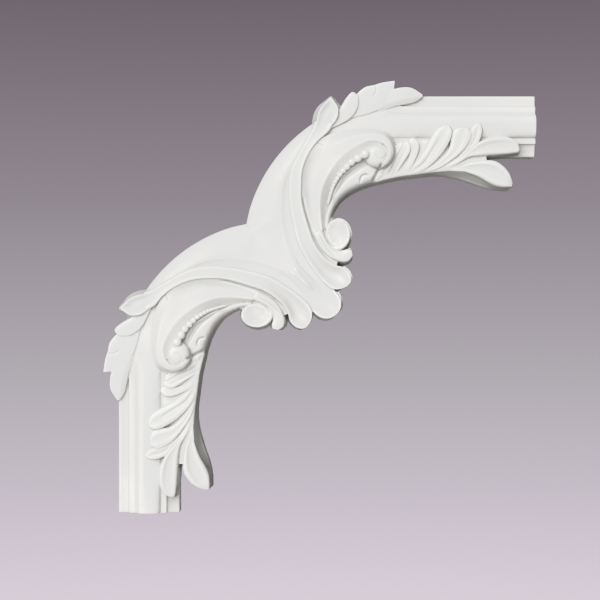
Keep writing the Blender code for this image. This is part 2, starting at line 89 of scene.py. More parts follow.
# %% [markdown]
# Each carved form is drawn in plan, on the wall, with a height above the wall at each place. The forms
# run down to the wall and stay closed, so that they can be fused later. Their sides lean out by five
# degrees, the draft that lets a casting leave its mould. A smooth curve through a few given rows fills
# in the rows between, as a carver's batten does.

# %% Rows, skins and rounded edges
carving = bpy.data.collections.new("carving")
scene.collection.children.link(carving)
DRAFT = math.tan(math.radians(5.0))
WELD = 1e-7


def smooth_rows(rows, count):
    """Spread `count` rows evenly along a smooth curve through the rows that are given."""
    keys = np.asarray(rows, dtype=float)
    padded = np.vstack([2 * keys[0] - keys[1], keys, 2 * keys[-1] - keys[-2]])
    places = np.linspace(0, len(keys) - 1, count)
    span = np.minimum(places.astype(int), len(keys) - 2)
    t = (places - span)[:, None]
    before, start, stop, after = (padded[span + k] for k in range(4))
    return 0.5 * (2 * start + (stop - before) * t + (2 * before - 5 * start + 4 * stop - after) * t ** 2
                  + (3 * start - before - 3 * stop + after) * t ** 3)


def lay(name, mesh):
    """Weld a closed mesh's doubles, turn its faces out and lay it with the carving's other forms."""
    work = bmesh.new()
    work.from_mesh(mesh)
    bmesh.ops.remove_doubles(work, verts=work.verts, dist=WELD)
    bmesh.ops.recalc_face_normals(work, faces=work.faces)
    work.to_mesh(mesh)
    work.free()
    form = bpy.data.objects.new(name, mesh)
    carving.objects.link(form)
    return form


def skin(name, sections):
    """Skin a row of closed sections, each a loop of (x, z, height) in millimetres, and cap both ends."""
    around = len(sections[0])
    vertices = [(x * MM, -h * MM, z * MM) for section in sections for x, z, h in section]
    faces = []
    for row in range(len(sections) - 1):
        for k in range(around):
            a = row * around + k
            b = row * around + (k + 1) % around
            faces.append((a, b, b + around, a + around))
    last = (len(sections) - 1) * around
    faces.append(tuple(range(around)))
    faces.append(tuple(range(last, last + around)))
    mesh = bpy.data.meshes.new(name)
    mesh.from_pydata(vertices, [], faces)
    return lay(name, mesh)


def rounding(inset, radius):
    """How far a rounded edge lies under the full surface, `inset` in from the edge."""
    short = np.clip(radius - inset, 0, radius)
    return radius - np.sqrt(radius ** 2 - short ** 2)


# %% [markdown]
# A strip is a long form over its ribs. A rib goes from a left to a right place in plan, with a height at
# each end, a swell and a dip. A section says how the surface runs between the ends. Each of its rows is a
# place across, from 0 to 1, and how much of the climb, of the swell and of the dip is reached there. The
# top edges are rounded over about a millimetre, as primer and a worn mould leave them.

# %% Strips over ribs
CROWNED = [(0, 0, 0, 0), (0.2, 0.2, 0.7, 0), (0.5, 0.5, 1, 0), (0.8, 0.8, 0.7, 0), (1, 1, 0, 0)]
VALLEY = [(0, 0, 0, 0), (0.25, 0.2, 0, 0.8), (0.55, 0.45, 0, 1), (0.85, 0.85, 0, 0.2), (1, 1, 0, 0)]
FROND = [(0, 0, 0, 0), (0.13, 0, 0.4, 0.2), (0.32, 0.2, -0.5, 0.8), (0.62, 0.6, 0.3, 1),
         (0.9, 1, 0.5, 0.15), (1, 1, 0, 0)]
ROLLED = [(0, 0, 0, 0), (0.15, 0.15, 0.32, 0.5), (0.3, 0.3, 0.68, 0.92), (0.45, 0.45, 1, 1),
          (0.6, 0.6, 0.81, 0.75), (0.8, 0.8, 0.43, 0.3), (1, 1, 0, 0)]
SPOON = [(0, 0, 0, 0), (0.16, 0.16, 0.8, 0), (0.35, 0.35, 0.75, 0.75), (0.6, 0.6, 0.9, 1),
         (0.84, 0.84, 0.8, 0.1), (1, 1, 0, 0)]
SLOPED = [(0, 0, 0, 0), (0.3, 0.36, 0, 0), (0.6, 0.72, 0, 0), (0.8, 0.93, 0, 0), (1, 1, 0, 0)]
HOLLOWED = [(0, 0, 0, 0), (0.3, 0.36, 0.7, 0), (0.6, 0.72, 1, 0), (0.8, 0.93, 0.8, 0), (1, 1, 0, 0)]
LIPPED = [(0, 0, 0, 0), (0.3, 0.02, 0.7, 0), (0.62, 0.08, 1, 0), (0.72, 0.2, 0.9, 0), (1, 1, 0, 0)]
BED = [(0, 0, 0, 0), (0.3, 0.6, 0, 0), (0.6, 0.92, 0, 0), (1, 1, 0, 0)]
FOLDED = [(0, 0, 0, 0), (0.2, 0.45, 0.4, 0), (0.48, 0.75, 0, 0.6), (0.78, 1, 0.5, 0), (1, 1, 0, 0)]
SECTION_ROWS = 100
ACROSS = 25
RIB_VALUES = 8
EQUAL_EDGES_SHARE, OWN_EDGE_SHARE = 0.45, 0.8


def strip(name, height, section, ribs, stations=64, edge=1.0, lean=(1, 1)):
    """A form over ribs (left x, left z, right x, right z, left height, right height, swell, dip).

    The heights count from `height`. A dip of 0 may be left out, and so may a swell of 0 before it. An
    edge is one radius, or a left and a right one; a share of the width limits it. A lean over 1 moves
    the section's middle to the right; it's given in even steps along the strip.
    """
    ribs = [(*rib, 0, 0)[:RIB_VALUES] for rib in ribs]
    across, share, up, down = smooth_rows(section, SECTION_ROWS).T
    left_edge, right_edge, most = edge, edge, EQUAL_EDGES_SHARE
    if isinstance(edge, tuple):
        left_edge, right_edge, most = *edge, OWN_EDGE_SHARE
    places = 0.5 - 0.5 * np.cos(np.linspace(0, math.pi, ACROSS))
    leans = np.interp(np.linspace(0, 1, stations), np.linspace(0, 1, len(lean)), lean)
    sections = []
    for rib, power in zip(smooth_rows(ribs, stations), leans):
        left, right = rib[:2], rib[2:4]
        left_rise, right_rise, swell, dip = rib[4:]
        width = np.hypot(*(right - left))
        outward = (right - left) / width * DRAFT
        leant = places ** power
        rise = left_rise + (right_rise - left_rise) * np.interp(leant, across, share)
        rise += swell * np.interp(leant, across, up) - dip * np.interp(leant, across, down)
        rise -= rounding(places * width, min(left_edge, most * width))
        rise -= rounding((1 - places) * width, min(right_edge, most * width))
        loop = [(*(left - outward * (height + left_rise)), 0.0)]
        loop += [(*(left + (right - left) * place), height + h) for place, h in zip(places, rise)]
        loop.append((*(right + outward * (height + right_rise)), 0.0))
        sections.append(loop)
    return skin(name, sections)


# %% [markdown]
# The moulding itself has one profile: a flat fascia, a step, a rounded belly, a fillet, a small cove and
# a raised lip. On the straight arm it follows a rule with no change, so Geometry Nodes sweep the profile
# along a line. The tree takes the two ends of the run and the outer line as named inputs.

# %% Moulding profile
OUTER_LINE = 135.0
ARM_REACH = 207.5
TURN_START = 97.5
TURN_RADIUS = 130.0
MOULDING_WIDTH = 50.0
FASCIA, STEP, BELLY, FILLET = 8.5, 6.2, 19.8, 5.3
FASCIA_HEIGHT, STEP_HEIGHT, BELLY_HEIGHT = 9.0, 12.4, 18.0
FILLET_HEIGHT, COVE_HEIGHT, LIP_HEIGHT = 13.0, 11.2, 8.0
BELLY_DROPS = [(0.6, 4.6), (1.6, 2.8), (2.8, 1.4), (4.2, 0.6), (6.5, 0.1), (9.0, 0.0), (11.5, 0.1),
               (13.5, 0.35), (15.5, 0.8), (17.0, 1.35), (18.2, 2.05), (19.2, 2.95), (19.7, 3.8)]
COVE_DROPS = [(1.5, 0.8), (3.5, 1.7), (6.0, 2.5), (8.8, 3.1)]


def moulding_profile():
    """The profile across the moulding: (inset from the outer edge, height above the wall).

    Each step has a point a little before and a little after its corner, which breaks the corner.
    """
    corners = [(0.0, FASCIA_HEIGHT - 0.9), (0.3, FASCIA_HEIGHT - 0.3), (0.9, FASCIA_HEIGHT)]
    corners += [(FASCIA - 1.1, FASCIA_HEIGHT + 0.1), (FASCIA - 0.1, FASCIA_HEIGHT - 0.7)]
    corners += [(FASCIA + 0.3, STEP_HEIGHT - 0.5), (FASCIA + 0.9, STEP_HEIGHT)]
    start = FASCIA + STEP
    corners += [(start - 1.1, STEP_HEIGHT), (start - 0.1, STEP_HEIGHT - 0.7)]
    corners += [(start + across, BELLY_HEIGHT - drop) for across, drop in BELLY_DROPS]
    start += BELLY
    corners += [(start + 0.2, FILLET_HEIGHT), (start + FILLET - 0.4, FILLET_HEIGHT)]
    corners += [(start + FILLET, FILLET_HEIGHT - 0.5), (start + FILLET + 0.3, COVE_HEIGHT)]
    corners += [(start + FILLET + across, COVE_HEIGHT - drop) for across, drop in COVE_DROPS]
    corners += [(MOULDING_WIDTH - 0.3, LIP_HEIGHT - 0.3), (MOULDING_WIDTH, LIP_HEIGHT - 0.9)]
    return corners


def closed_profile(corners):
    """Close a profile down to the wall, with the casting's draft on both sides."""
    first, last = corners[0], corners[-1]
    return [(-DRAFT * first[1], 0.0)] + corners + [(last[0] + DRAFT * last[1], 0.0)]


profile_line = bpy.data.curves.new("moulding_profile", "CURVE")
profile_line.dimensions = "2D"
spline = profile_line.splines.new("POLY")
outline = closed_profile(moulding_profile())
spline.points.add(len(outline) - 1)
for point, (inset, height) in zip(spline.points, outline):
    point.co = (height * MM, inset * MM, 0, 1)
spline.use_cyclic_u = True
profile_object = bpy.data.objects.new("moulding_profile", profile_line)
scene.collection.objects.link(profile_object)
print("profile", len(outline), "corners over", MOULDING_WIDTH, "mm")

# %% [markdown]
# Geometry Nodes need some wiring, so a few short helpers do it: one makes a tree with named inputs, one
# fills a node's inputs from numbers or sockets, one ends a tree with real geometry and its material, and
# one sets a modifier's inputs by the sockets' identifiers and bakes the result to a plain mesh.

# %% Geometry Nodes helpers
SOCKETS = {"length": "NodeSocketFloat", "whole": "NodeSocketInt", "object": "NodeSocketObject",
           "material": "NodeSocketMaterial"}
primer = bpy.data.materials.new("primed_white")


def new_tree(name, inputs):
    """A geometry tree with named inputs and one geometry output."""
    tree = bpy.data.node_groups.new(name, "GeometryNodeTree")
    tree.interface.new_socket("Geometry", in_out="OUTPUT", socket_type="NodeSocketGeometry")
    for label, kind in inputs.items():
        tree.interface.new_socket(label, in_out="INPUT", socket_type=SOCKETS[kind])
    return tree, tree.nodes.new("NodeGroupInput"), tree.nodes.new("NodeGroupOutput")


def feed(tree, node, values):
    """Fill a node's inputs in turn, each from a number or a socket; gives its first output."""
    for socket, value in zip(node.inputs, values):
        if isinstance(value, (int, float)):
            socket.default_value = value
        else:
            tree.links.new(value, socket)
    return node.outputs[0]


def maths(tree, operation, *values):
    """The outcome of a math node on numbers or sockets."""
    node = tree.nodes.new("ShaderNodeMath")
    node.operation = operation
    return feed(tree, node, values)


def vector_of(tree, *values):
    """A vector of three numbers or sockets."""
    return feed(tree, tree.nodes.new("ShaderNodeCombineXYZ"), values)


def hand_out(tree, geometry, finish, result):
    """End a tree: make its instances real, give the material and pass the geometry out."""
    real = tree.nodes.new("GeometryNodeRealizeInstances")
    coat = tree.nodes.new("GeometryNodeSetMaterial")
    tree.links.new(geometry, real.inputs[0])
    tree.links.new(real.outputs[0], coat.inputs["Geometry"])
    tree.links.new(finish, coat.inputs["Material"])
    tree.links.new(coat.outputs[0], result.inputs[0])


def grow(name, tree, values):
    """Run a tree on an empty mesh and lay the result with the carving's other forms."""
    carrier = bpy.data.objects.new(name, bpy.data.meshes.new(name))
    scene.collection.objects.link(carrier)
    modifier = carrier.modifiers.new(name, "NODES")
    modifier.node_group = tree
    for item in tree.interface.items_tree:
        if item.item_type == "SOCKET" and item.in_out == "INPUT":
            modifier[item.identifier] = values[item.name]
    grown = bpy.data.meshes.new_from_object(carrier.evaluated_get(bpy.context.evaluated_depsgraph_get()))
    carrier.modifiers.remove(modifier)
    bpy.data.objects.remove(carrier)
    return lay(name, grown)


print("helpers for", len(SOCKETS), "kinds of input")

# %% [markdown]
# The arm starts a little way out along the straight, so that it laps the turn, and ends in the square
# cut where the next length of moulding joins. The tree is small: a line between the two ends, the profile
# swept along it with its ends capped, and the material.

# %% Moulding arm
ARM_START = TURN_START + 8.0
tree, given, result = new_tree("moulding_run", {
    "Run Start": "length", "Run End": "length", "Outer Line": "length",
    "Profile": "object", "Finish": "material"})
line = tree.nodes.new("GeometryNodeCurvePrimitiveLine")
for end, run in (("Start", "Run Start"), ("End", "Run End")):
    tree.links.new(vector_of(tree, given.outputs[run], 0.0, given.outputs["Outer Line"]), line.inputs[end])
shape = tree.nodes.new("GeometryNodeObjectInfo")
tree.links.new(given.outputs["Profile"], shape.inputs["Object"])
sweep = tree.nodes.new("GeometryNodeCurveToMesh")
sweep.inputs["Fill Caps"].default_value = True
tree.links.new(line.outputs["Curve"], sweep.inputs["Curve"])
tree.links.new(shape.outputs["Geometry"], sweep.inputs["Profile Curve"])
hand_out(tree, sweep.outputs["Mesh"], given.outputs["Finish"], result)
arm = grow("moulding_arm", tree, {
    "Run Start": ARM_START * MM, "Run End": ARM_REACH * MM, "Outer Line": OUTER_LINE * MM,
    "Profile": profile_object, "Finish": primer})
low = [min(v.co[k] for v in arm.data.vertices) / MM for k in range(3)]
high = [max(v.co[k] for v in arm.data.vertices) / MM for k in range(3)]
print("arm", len(arm.data.polygons), "faces", [round(v, 1) for v in low], [round(v, 1) for v in high])

# %% [markdown]
# Round the turn the moulding's steps melt into one plain swell before it meets the scroll. The same
# profile is skinned along the arc, and it fades from the stepped shape to the plain one. A tree would
# need a field for every step of the profile, so a short loop is plainer here.

# %% Moulding turn
PLAIN_TURN = [(0, 8.1), (0.9, 9.2), (6, 12.5), (13, 15.8), (20, 17.4), (28, 18.0), (40, 17.5), (50, 15)]
FADE_START, FADE_RUN = 6.0, 26.0
LAP_ON_ARM, END_UNDER_SHOULDER, TURN_SECTIONS = 9.0, -75.0, 60


def edge_place(run, inset):
    """A place on the moulding: `run` counts from the start of the turn, out along the arm when positive."""
    if run >= 0:
        return TURN_START + run, OUTER_LINE - inset
    angle = -run / TURN_RADIUS
    reach = TURN_RADIUS - inset
    return TURN_START - reach * math.sin(angle), OUTER_LINE - TURN_RADIUS + reach * math.cos(angle)


def turn_section(run):
    """The moulding's section at a place on the turn."""
    fade = min(1.0, max(0.0, (FADE_START - run) / FADE_RUN))
    fade = fade * fade * (3 - 2 * fade)
    insets, plain = zip(*PLAIN_TURN)
    corners = [(inset, h + (np.interp(inset, insets, plain) - h) * fade) for inset, h in moulding_profile()]
    return [(*edge_place(run, inset), h) for inset, h in closed_profile(corners)]


runs = np.linspace(LAP_ON_ARM, END_UNDER_SHOULDER, TURN_SECTIONS)
turn = skin("moulding_turn", [turn_section(run) for run in runs])
print("turn", len(turn.data.polygons), "faces")

# %% [markdown]
# Past the teardrop leaf the moulding becomes a broad plate, the shoulder. It swells from the thin outer
# edge up to a soft line beside the frond, and on the corner's diagonal it narrows into a crest. Beyond
# the notch its ribs reach over the diagonal, where the other half meets them. The valley is the dip
# between the shoulder and the frond, which widens towards the tip.

# %% Shoulder and valley
SHOULDER_HEIGHT = 17.5
OUTER_DROP, INNER_CLIMB, SHOULDER_SWELL = -8.5, 0.15, 3.0
outer_line = [edge_place(-run, 0.0) for run in (66, 82, 99, 116, 133, 150, 166, 183)]
inner_line = [(27, 106), (20.5, 97), (13.5, 87), (7, 76), (1.8, 65), (-0.8, 54.5), (-1.5, 44), (-1.3, 34)]
ribs = [(*outer, *inner, OUTER_DROP, INNER_CLIMB * k, SHOULDER_SWELL, 0)
        for k, (outer, inner) in enumerate(zip(outer_line, inner_line))]
ribs += [
    (-33, 24, 0.2, 24, -5.5, 1.4, 0.7),
    (-26, 15, 2.6, 14.5, -1.3, 2.0, 0.1),
    (-15, 4, 6, 5, 1.2, 2.8, 0.2),
    (-4, -6, 9.6, -3.6, 2.8, 4.0, 0.5),
    (5, -13, 12.6, -10.6, 4.6, 5.2, 0.4),
    (12, -20, 18.6, -17.2, 5.4, 5.6, 0.2),
]
strip("shoulder", SHOULDER_HEIGHT, CROWNED, ribs, stations=110, edge=(1.2, 0.3))
strip("valley", SHOULDER_HEIGHT, VALLEY, [
    (7, 80, 13, 82, 0.4, -0.6),
    (0, 62.5, 9, 63, 1.0, -5.6),
    (-2, 44, 9, 44, 1.2, -3.0, 0, 0.3),
    (-1.4, 30, 12, 27, 1.5, -2.2, 0, 0.4),
    (1.9, 14.5, 18, 9, 2.2, -0.6, 0, 0.5),
    (5.8, 5, 22, 0, 2.8, 0.0, 0, 0.8),
    (9.2, -3.6, 27, -8, 4.0, 1.0, 0, 1.4),
    (12.2, -10.6, 32, -14, 5.5, 2.5, 0, 2.0),
    (18, -17.5, 38, -21, 6.0, 4.0, 0, 2.4),
    (26.5, -29, 43.8, -26.5, 5.0, 6.6, 0, 2.4),
    (32.5, -37.5, 47.2, -31.8, 5.0, 8.2, 0, 2.4),
    (35.5, -42, 47.8, -37.3, 5.8, 8.4, 0, 2.2),
    (37, -45.5, 46.2, -41.6, 7.0, 8.4, 0, 1.4),
    (37, -48.5, 43, -45.5, 8.2, 8.4, 0, 0.5),
    (36.5, -49.5, 39.5, -47.8, 8.2, 8.2),
], stations=110, edge=(0.1, 1.0), lean=(1, 1, 1, 1, 1, 1.1, 1.3, 1.6, 1.7, 1.4, 1.1, 1, 1, 1, 1))
print("shoulder and valley laid")

# %% [markdown]
# The frond is the long leaf that starts under the teardrop, sweeps past the scroll and widens into a
# shell lobe. A raised line runs down its outer side, and its surface dips and rises again before the
# crisp inner edge.

# %% Frond
FROND_HEIGHT = 24.0
strip("frond", FROND_HEIGHT, FROND, [
    (26.5, 113, 41, 111, -4, -3, 0, 1.5),
    (24.2, 106, 37, 104.5, -4, -3, 0.3, 0.8),
    (19.2, 97.5, 28.4, 96.5, -3.6, -2, 0.4),
    (12.8, 86, 21.1, 86, -3.2, -1, 0.5),
    (7.4, 74, 16.5, 74, -3, 0, 0.6),
    (5.4, 61, 15.2, 61, -3, 0.4, 0.7),
    (5.8, 47, 15.9, 46, -3, 0.6, 0.7),
    (8.6, 30, 20, 30.5, -2.5, 0.8, 0.7),
    (13.2, 12.5, 25.8, 14, -2, 0.4, 0.6, 0.8),
    (21.5, -2.5, 34.8, 1.5, -2.1, -0.8, 0.3, 2.8),
    (29.5, -13.5, 43.2, -4.3, -1.2, -1.4, 0, 5.6),
    (35.5, -20, 50, -6.3, 0.4, -1.2, 0, 7.0),
    (41, -23.6, 54.4, -10.5, 1.6, 0.2, 0, 6.0),
    (47, -23.8, 56, -15.5, 2.3, 1.6, 0, 3.0),
    (51.8, -21.8, 55, -19, 2.2, 2.2, 0, 0.3),
], stations=120, edge=0.8)
print("frond laid")

# %% [markdown]
# Round forms are dishes: rings that shrink towards a centre, each with its own height. A ring's height
# may differ round the outline, so a rim can fade out where the form tucks under its neighbour.

# %% Dishes
DISH_RINGS = 26
RIM_START = 0.7


def dish(name, height, centre, outline, rings, slope=DRAFT, edge=1.0):
    """A form over an outline of (x, z, rim), skinned by rings (share of the way out, low, high).

    The low and high values count from `height`; a rim of 0 takes the low one, a rim of 1 the high one.
    """
    middle = np.array(centre)
    places = np.array([(x, z) for x, z, rim in outline])
    rims = np.array([rim for x, z, rim in outline])
    spokes = places - middle
    lengths = np.hypot(*spokes.T)
    base = places + spokes / lengths[:, None] * slope * height
    sections = [[(x, z, 0.0) for x, z in base]]
    for share, low_rise, high_rise in smooth_rows(rings, DISH_RINGS):
        share = min(1.0, max(0.0, share))
        rise = low_rise + (high_rise - low_rise) * rims
        rise = rise - rounding((1 - share) * lengths, edge)
        sections.append([(*(middle + spoke * share), height + h) for spoke, h in zip(spokes, rise)])
    return skin(name, sections)


def oval(centre, radii, count, open_towards=None):
    """An ellipse in plan, whose rim fades out on the side that `open_towards` gives, in degrees."""
    outline = []
    for angle in np.linspace(0, 2 * math.pi, count, endpoint=False):
        rim = 1.0
        if open_towards is not None:
            rim = min(1.0, max(0.0, RIM_START - math.cos(angle - math.radians(open_towards))))
        x = centre[0] + radii[0] * math.cos(angle)
        z = centre[1] + radii[1] * math.sin(angle)
        outline.append((x, z, rim))
    return outline


print("a dish takes", DISH_RINGS, "rings")

# %% [markdown]
# The lobe is the first bowl of the shell, open on the side of the scroll. The hook curls round under it
# like a finger, and a floor behind both closes the casting. The rims are rounder here than on the leaves,
# because the lobe and the hook are the thickest forms.

# %% Lobe and hook
LOBE_HEIGHT, HOOK_FLOOR_HEIGHT = 26.5, 20.0
lobe_middle = (45.3, 20.7)
dish("lobe", LOBE_HEIGHT, lobe_middle, oval(lobe_middle, (9.8, 12.6), 72, 185), [
    (1.0, -3.6, -0.3), (0.93, -4.0, 0.0), (0.8, -4.7, -0.5), (0.55, -5.2, -2.0), (0.3, -4.9, -3.5),
    (0.05, -4.4, -4.3)], edge=1.4)
strip("hook", LOBE_HEIGHT, CROWNED, [
    (25, 21, 31.4, 24.4, -2.8, -2, 0.4),
    (31.5, 9.5, 36.6, 13.9, -2.5, -2, 0.8),
    (38.5, 2.5, 42, 8.8, -2, -3, 1),
    (46.5, -1.2, 47.2, 7.4, -1.5, -2.5, 0.8),
    (53.5, -1.3, 52.6, 8.6, -1.5, -1.8, 0.8),
    (57.3, 2.5, 56, 8.2, -2, -2, 0.4),
], edge=1.6)
strip("hook_floor", HOOK_FLOOR_HEIGHT, SLOPED, [
    (30, 40, 39.3, 37.5, -5.5, -6),
    (24, 28, 40.5, 31, -3.5, -3),
    (25, 14, 37, 19, -0.5, 0),
    (35, 1, 42, 10, 0.8, 2),
    (44, -4.6, 49, 9, -0.5, 2),
])

# %% [markdown]
# The C-scroll is one strip with a rolled section. It rises out of the shell between the frond and the
# lobe, turns over the top and curls in round its eye, which is a domed dish in a shallow bowl. The lean
# moves the roll's groove across the strip, from close to the lobe to the middle.

# %% Scroll and its eye
SCROLL_HEIGHT = 28.5
strip("scroll", SCROLL_HEIGHT, ROLLED, [
    (28, 6, 38.5, 10.5, -7.6, -5.5, 0, 0.3),
    (23, 16.5, 36, 15, -7.4, -4.9, 0, 0.8),
    (18, 29, 32.3, 24.3, -6.8, -4.6, 0, 1.8),
    (14.6, 41, 30.8, 36.5, -6.0, -4.8, 0, 3.2),
    (13.6, 53, 30.2, 49, -5.2, -4, 0, 4.6),
    (14.2, 69, 32.7, 61, -5.0, -2.4, 0, 4.9),
    (19, 84.5, 38.5, 72, -5.6, -1.2, 0, 4.4),
    (28.5, 97, 46.8, 82.3, -9, -0.5, 1, 1.2),
    (43, 104.5, 56.5, 89.8, -11, 0, 3.0),
    (59, 106.8, 66.5, 94.8, -11.5, 0, 4.0),
    (73.5, 107.3, 73.6, 96.2, -12, 0, 4.6),
    (84.8, 104.9, 80.4, 94.6, -12, 0, 4.8),
    (91, 98, 84.8, 90.8, -12.5, 0, 4.8),
    (93.4, 88.8, 86, 86, -13, 0, 4.8),
    (91, 80.2, 84.2, 81.6, -13, -0.5, 4.8),
    (85.4, 75, 80.6, 78.2, -12, -1, 4.6),
    (79, 73, 76.8, 76.8, -10, -1.5, 3.5),
], stations=150, edge=0.7, lean=(2, 2, 2, 1.9, 1.6, 1.1, 0.9, 1, 1, 1, 1, 1, 1, 1, 1, 1, 1))
bowl, eye = (77.6, 85.6), (76.5, 83.9)
dish("scroll_bowl", SCROLL_HEIGHT, bowl, oval(bowl, (11, 10.5), 48), [
    (1.0, -2.6, -2.6), (0.5, -2.6, -2.6), (0.05, -2.6, -2.6)])
dish("scroll_eye", SCROLL_HEIGHT, eye, oval(eye, (9.2, 9.0), 60), [
    (1.0, -5.5, -5.5), (0.95, -3.6, -3.6), (0.85, -2.0, -2.0), (0.68, -0.7, -0.7), (0.4, 0.1, 0.1),
    (0.05, 0.3, 0.3)], edge=0.2)
print("scroll laid")

# %% [markdown]
# Behind the scroll's crisp edge the surface slopes down to the beads, steep at the lower end and gentler
# towards the eye. Under the leaves there is a lower floor that closes the corner of the moulding.

# %% Hollow and floor
HOLLOW_HEIGHT, BED_HEIGHT = 20.0, 19.0
strip("hollow", HOLLOW_HEIGHT, HOLLOWED, [
    (32.3, 24.3, 35.8, 25.5, 3.4, -6, 1.2),
    (30.8, 36.5, 37.2, 37, 3.4, -6.4, 1.8),
    (30.2, 49, 41, 49.5, 4.4, -5.4, 1.8),
    (32.7, 61, 46.5, 57.5, 6.4, -2.6, 1.0),
    (38.5, 72, 52.5, 65, 7.4, -0.4, 0.4),
    (46.8, 82.3, 60.5, 71.3, 7.9, 0.4),
    (56.5, 89.8, 68.5, 76.0, 8.2, 0.8),
    (66.5, 94.8, 74.5, 80, 7.9, 1),
    (73.6, 96.2, 79, 82, 7.6, 2),
    (80.4, 94.6, 81, 86, 7.4, 5),
], stations=90, edge=0.1)
strip("bed_of_leaves", BED_HEIGHT, BED, [
    (80, 80, 76.5, 63.4, -1, -0.6),
    (82.8, 81.7, 79.5, 64.1, -3, 0),
    (89.3, 89.8, 89.3, 66.5, -5, 0.2),
    (97.5, 95.5, 95.9, 67.8, -5.5, 0.2),
    (108.1, 97.2, 108.1, 69.4, -5.5, 0.2),
    (120.4, 98, 120.4, 71, -5.5, 0.2),
    (132.6, 97.2, 132.6, 72, -5.5, 0.2),
    (144.9, 94.7, 144.9, 72.7, -5.5, 0),
    (156.3, 90.6, 155, 72.8, -6, -1),
], stations=90, edge=(0.1, 2.6))
print("grounds laid")

# %% [markdown]
# The string of beads is cast with the rest, so each bead needs ground under it. A ridge that narrows with
# the beads runs along the middle of the string, down to the hollow. Without it the small beads would hang
# free, which no mould could release.

# %% Bead line and its bed
BEAD_COUNT = 13
FIRST_BEAD = 3.55
BEAD_SHARE = 0.885
BEAD_LINE = [(67.2, 85.2, 26.8), (60.9, 81.6, 26.4), (55.6, 78.2, 25.9), (48.2, 70.8, 24.8),
             (43.6, 64.0, 23.6), (40.7, 57.8, 22.0), (38.4, 51.0, 20.0), (37.2, 46.0, 18.6)]
LINE_POINTS = 120
BED_SHARE, BED_RIBS = 0.6, 24
middle_line = smooth_rows(BEAD_LINE, BED_RIBS)
ahead = np.gradient(middle_line[:, :2], axis=0)
aside = np.stack([-ahead[:, 1], ahead[:, 0]], axis=1) / np.hypot(*ahead.T)[:, None]
half_widths = BED_SHARE * FIRST_BEAD * np.linspace(1, BEAD_SHARE ** BEAD_COUNT, BED_RIBS)
ribs = [(*(place[:2] - reach), *(place[:2] + reach), place[2], place[2])
        for place, reach in zip(middle_line, half_widths[:, None] * aside)]
strip("bed_of_beads", 0.0, SLOPED, ribs, stations=90, edge=0.3)
bead_curve = bpy.data.curves.new("bead_line", "CURVE")
bead_curve.dimensions = "3D"
spline = bead_curve.splines.new("POLY")
places = smooth_rows(BEAD_LINE, LINE_POINTS)
spline.points.add(len(places) - 1)
for point, (x, z, h) in zip(spline.points, places):
    point.co = (x * MM, -h * MM, z * MM, 1)
bead_path = bpy.data.objects.new("bead_line", bead_curve)
scene.collection.objects.link(bead_path)
print("bed of beads", round(2 * half_widths[0], 1), "to", round(2 * half_widths[-1], 1), "mm wide")

# %% [markdown]
# The beads shrink evenly along the hollow, so they follow a rule: each one is a fixed share of the last,
# and each starts where the last one ends. Geometry Nodes place them by length along the line, with the
# count, the first radius and the share as named inputs.

# %% Bead string
BALL_LEVELS = 4
tree, given, result = new_tree("bead_string", {
    "Path": "object", "Count": "whole", "First Radius": "length", "Share": "length",
    "Finish": "material"})
shape = tree.nodes.new("GeometryNodeObjectInfo")
tree.links.new(given.outputs["Path"], shape.inputs["Object"])
row = tree.nodes.new("GeometryNodeMeshLine")
tree.links.new(given.outputs["Count"], row.inputs["Count"])
index = tree.nodes.new("GeometryNodeInputIndex").outputs[0]
shrink = maths(tree, "POWER", given.outputs["Share"], index)
radius = maths(tree, "MULTIPLY", given.outputs["First Radius"], shrink)
reach = maths(tree, "DIVIDE", maths(tree, "ADD", 1.0, given.outputs["Share"]),
              maths(tree, "SUBTRACT", 1.0, given.outputs["Share"]))
along = maths(tree, "MULTIPLY", maths(tree, "MULTIPLY", given.outputs["First Radius"], reach),
              maths(tree, "SUBTRACT", 1.0, shrink))
sample = tree.nodes.new("GeometryNodeSampleCurve")
sample.mode = "LENGTH"
tree.links.new(shape.outputs["Geometry"], sample.inputs["Curves"])
tree.links.new(along, sample.inputs["Length"])
settle = tree.nodes.new("GeometryNodeSetPosition")
tree.links.new(row.outputs["Mesh"], settle.inputs["Geometry"])
tree.links.new(sample.outputs["Position"], settle.inputs["Position"])
ball = tree.nodes.new("GeometryNodeMeshIcoSphere")
ball.inputs["Radius"].default_value = 1.0
ball.inputs["Subdivisions"].default_value = BALL_LEVELS
copies = tree.nodes.new("GeometryNodeInstanceOnPoints")
tree.links.new(settle.outputs["Geometry"], copies.inputs["Points"])
tree.links.new(ball.outputs["Mesh"], copies.inputs["Instance"])
tree.links.new(vector_of(tree, radius, radius, radius), copies.inputs["Scale"])
hand_out(tree, copies.outputs["Instances"], given.outputs["Finish"], result)
grow("beads", tree, {"Path": bead_path, "Count": BEAD_COUNT, "First Radius": FIRST_BEAD * MM,
                     "Share": BEAD_SHARE, "Finish": primer})
last_bead = FIRST_BEAD * BEAD_SHARE ** (BEAD_COUNT - 1)
print("beads", BEAD_COUNT, "from radius", FIRST_BEAD, "to", round(last_bead, 2))

# %% [markdown]
# Between the beads and the open side lies a smooth body like the back of a rolled leaf. Past it the
# sprays fan out over the moulding. Each leaf starts low on its left, under its neighbour, and ends in a
# raised right edge, so the leaves overlap like fingers.

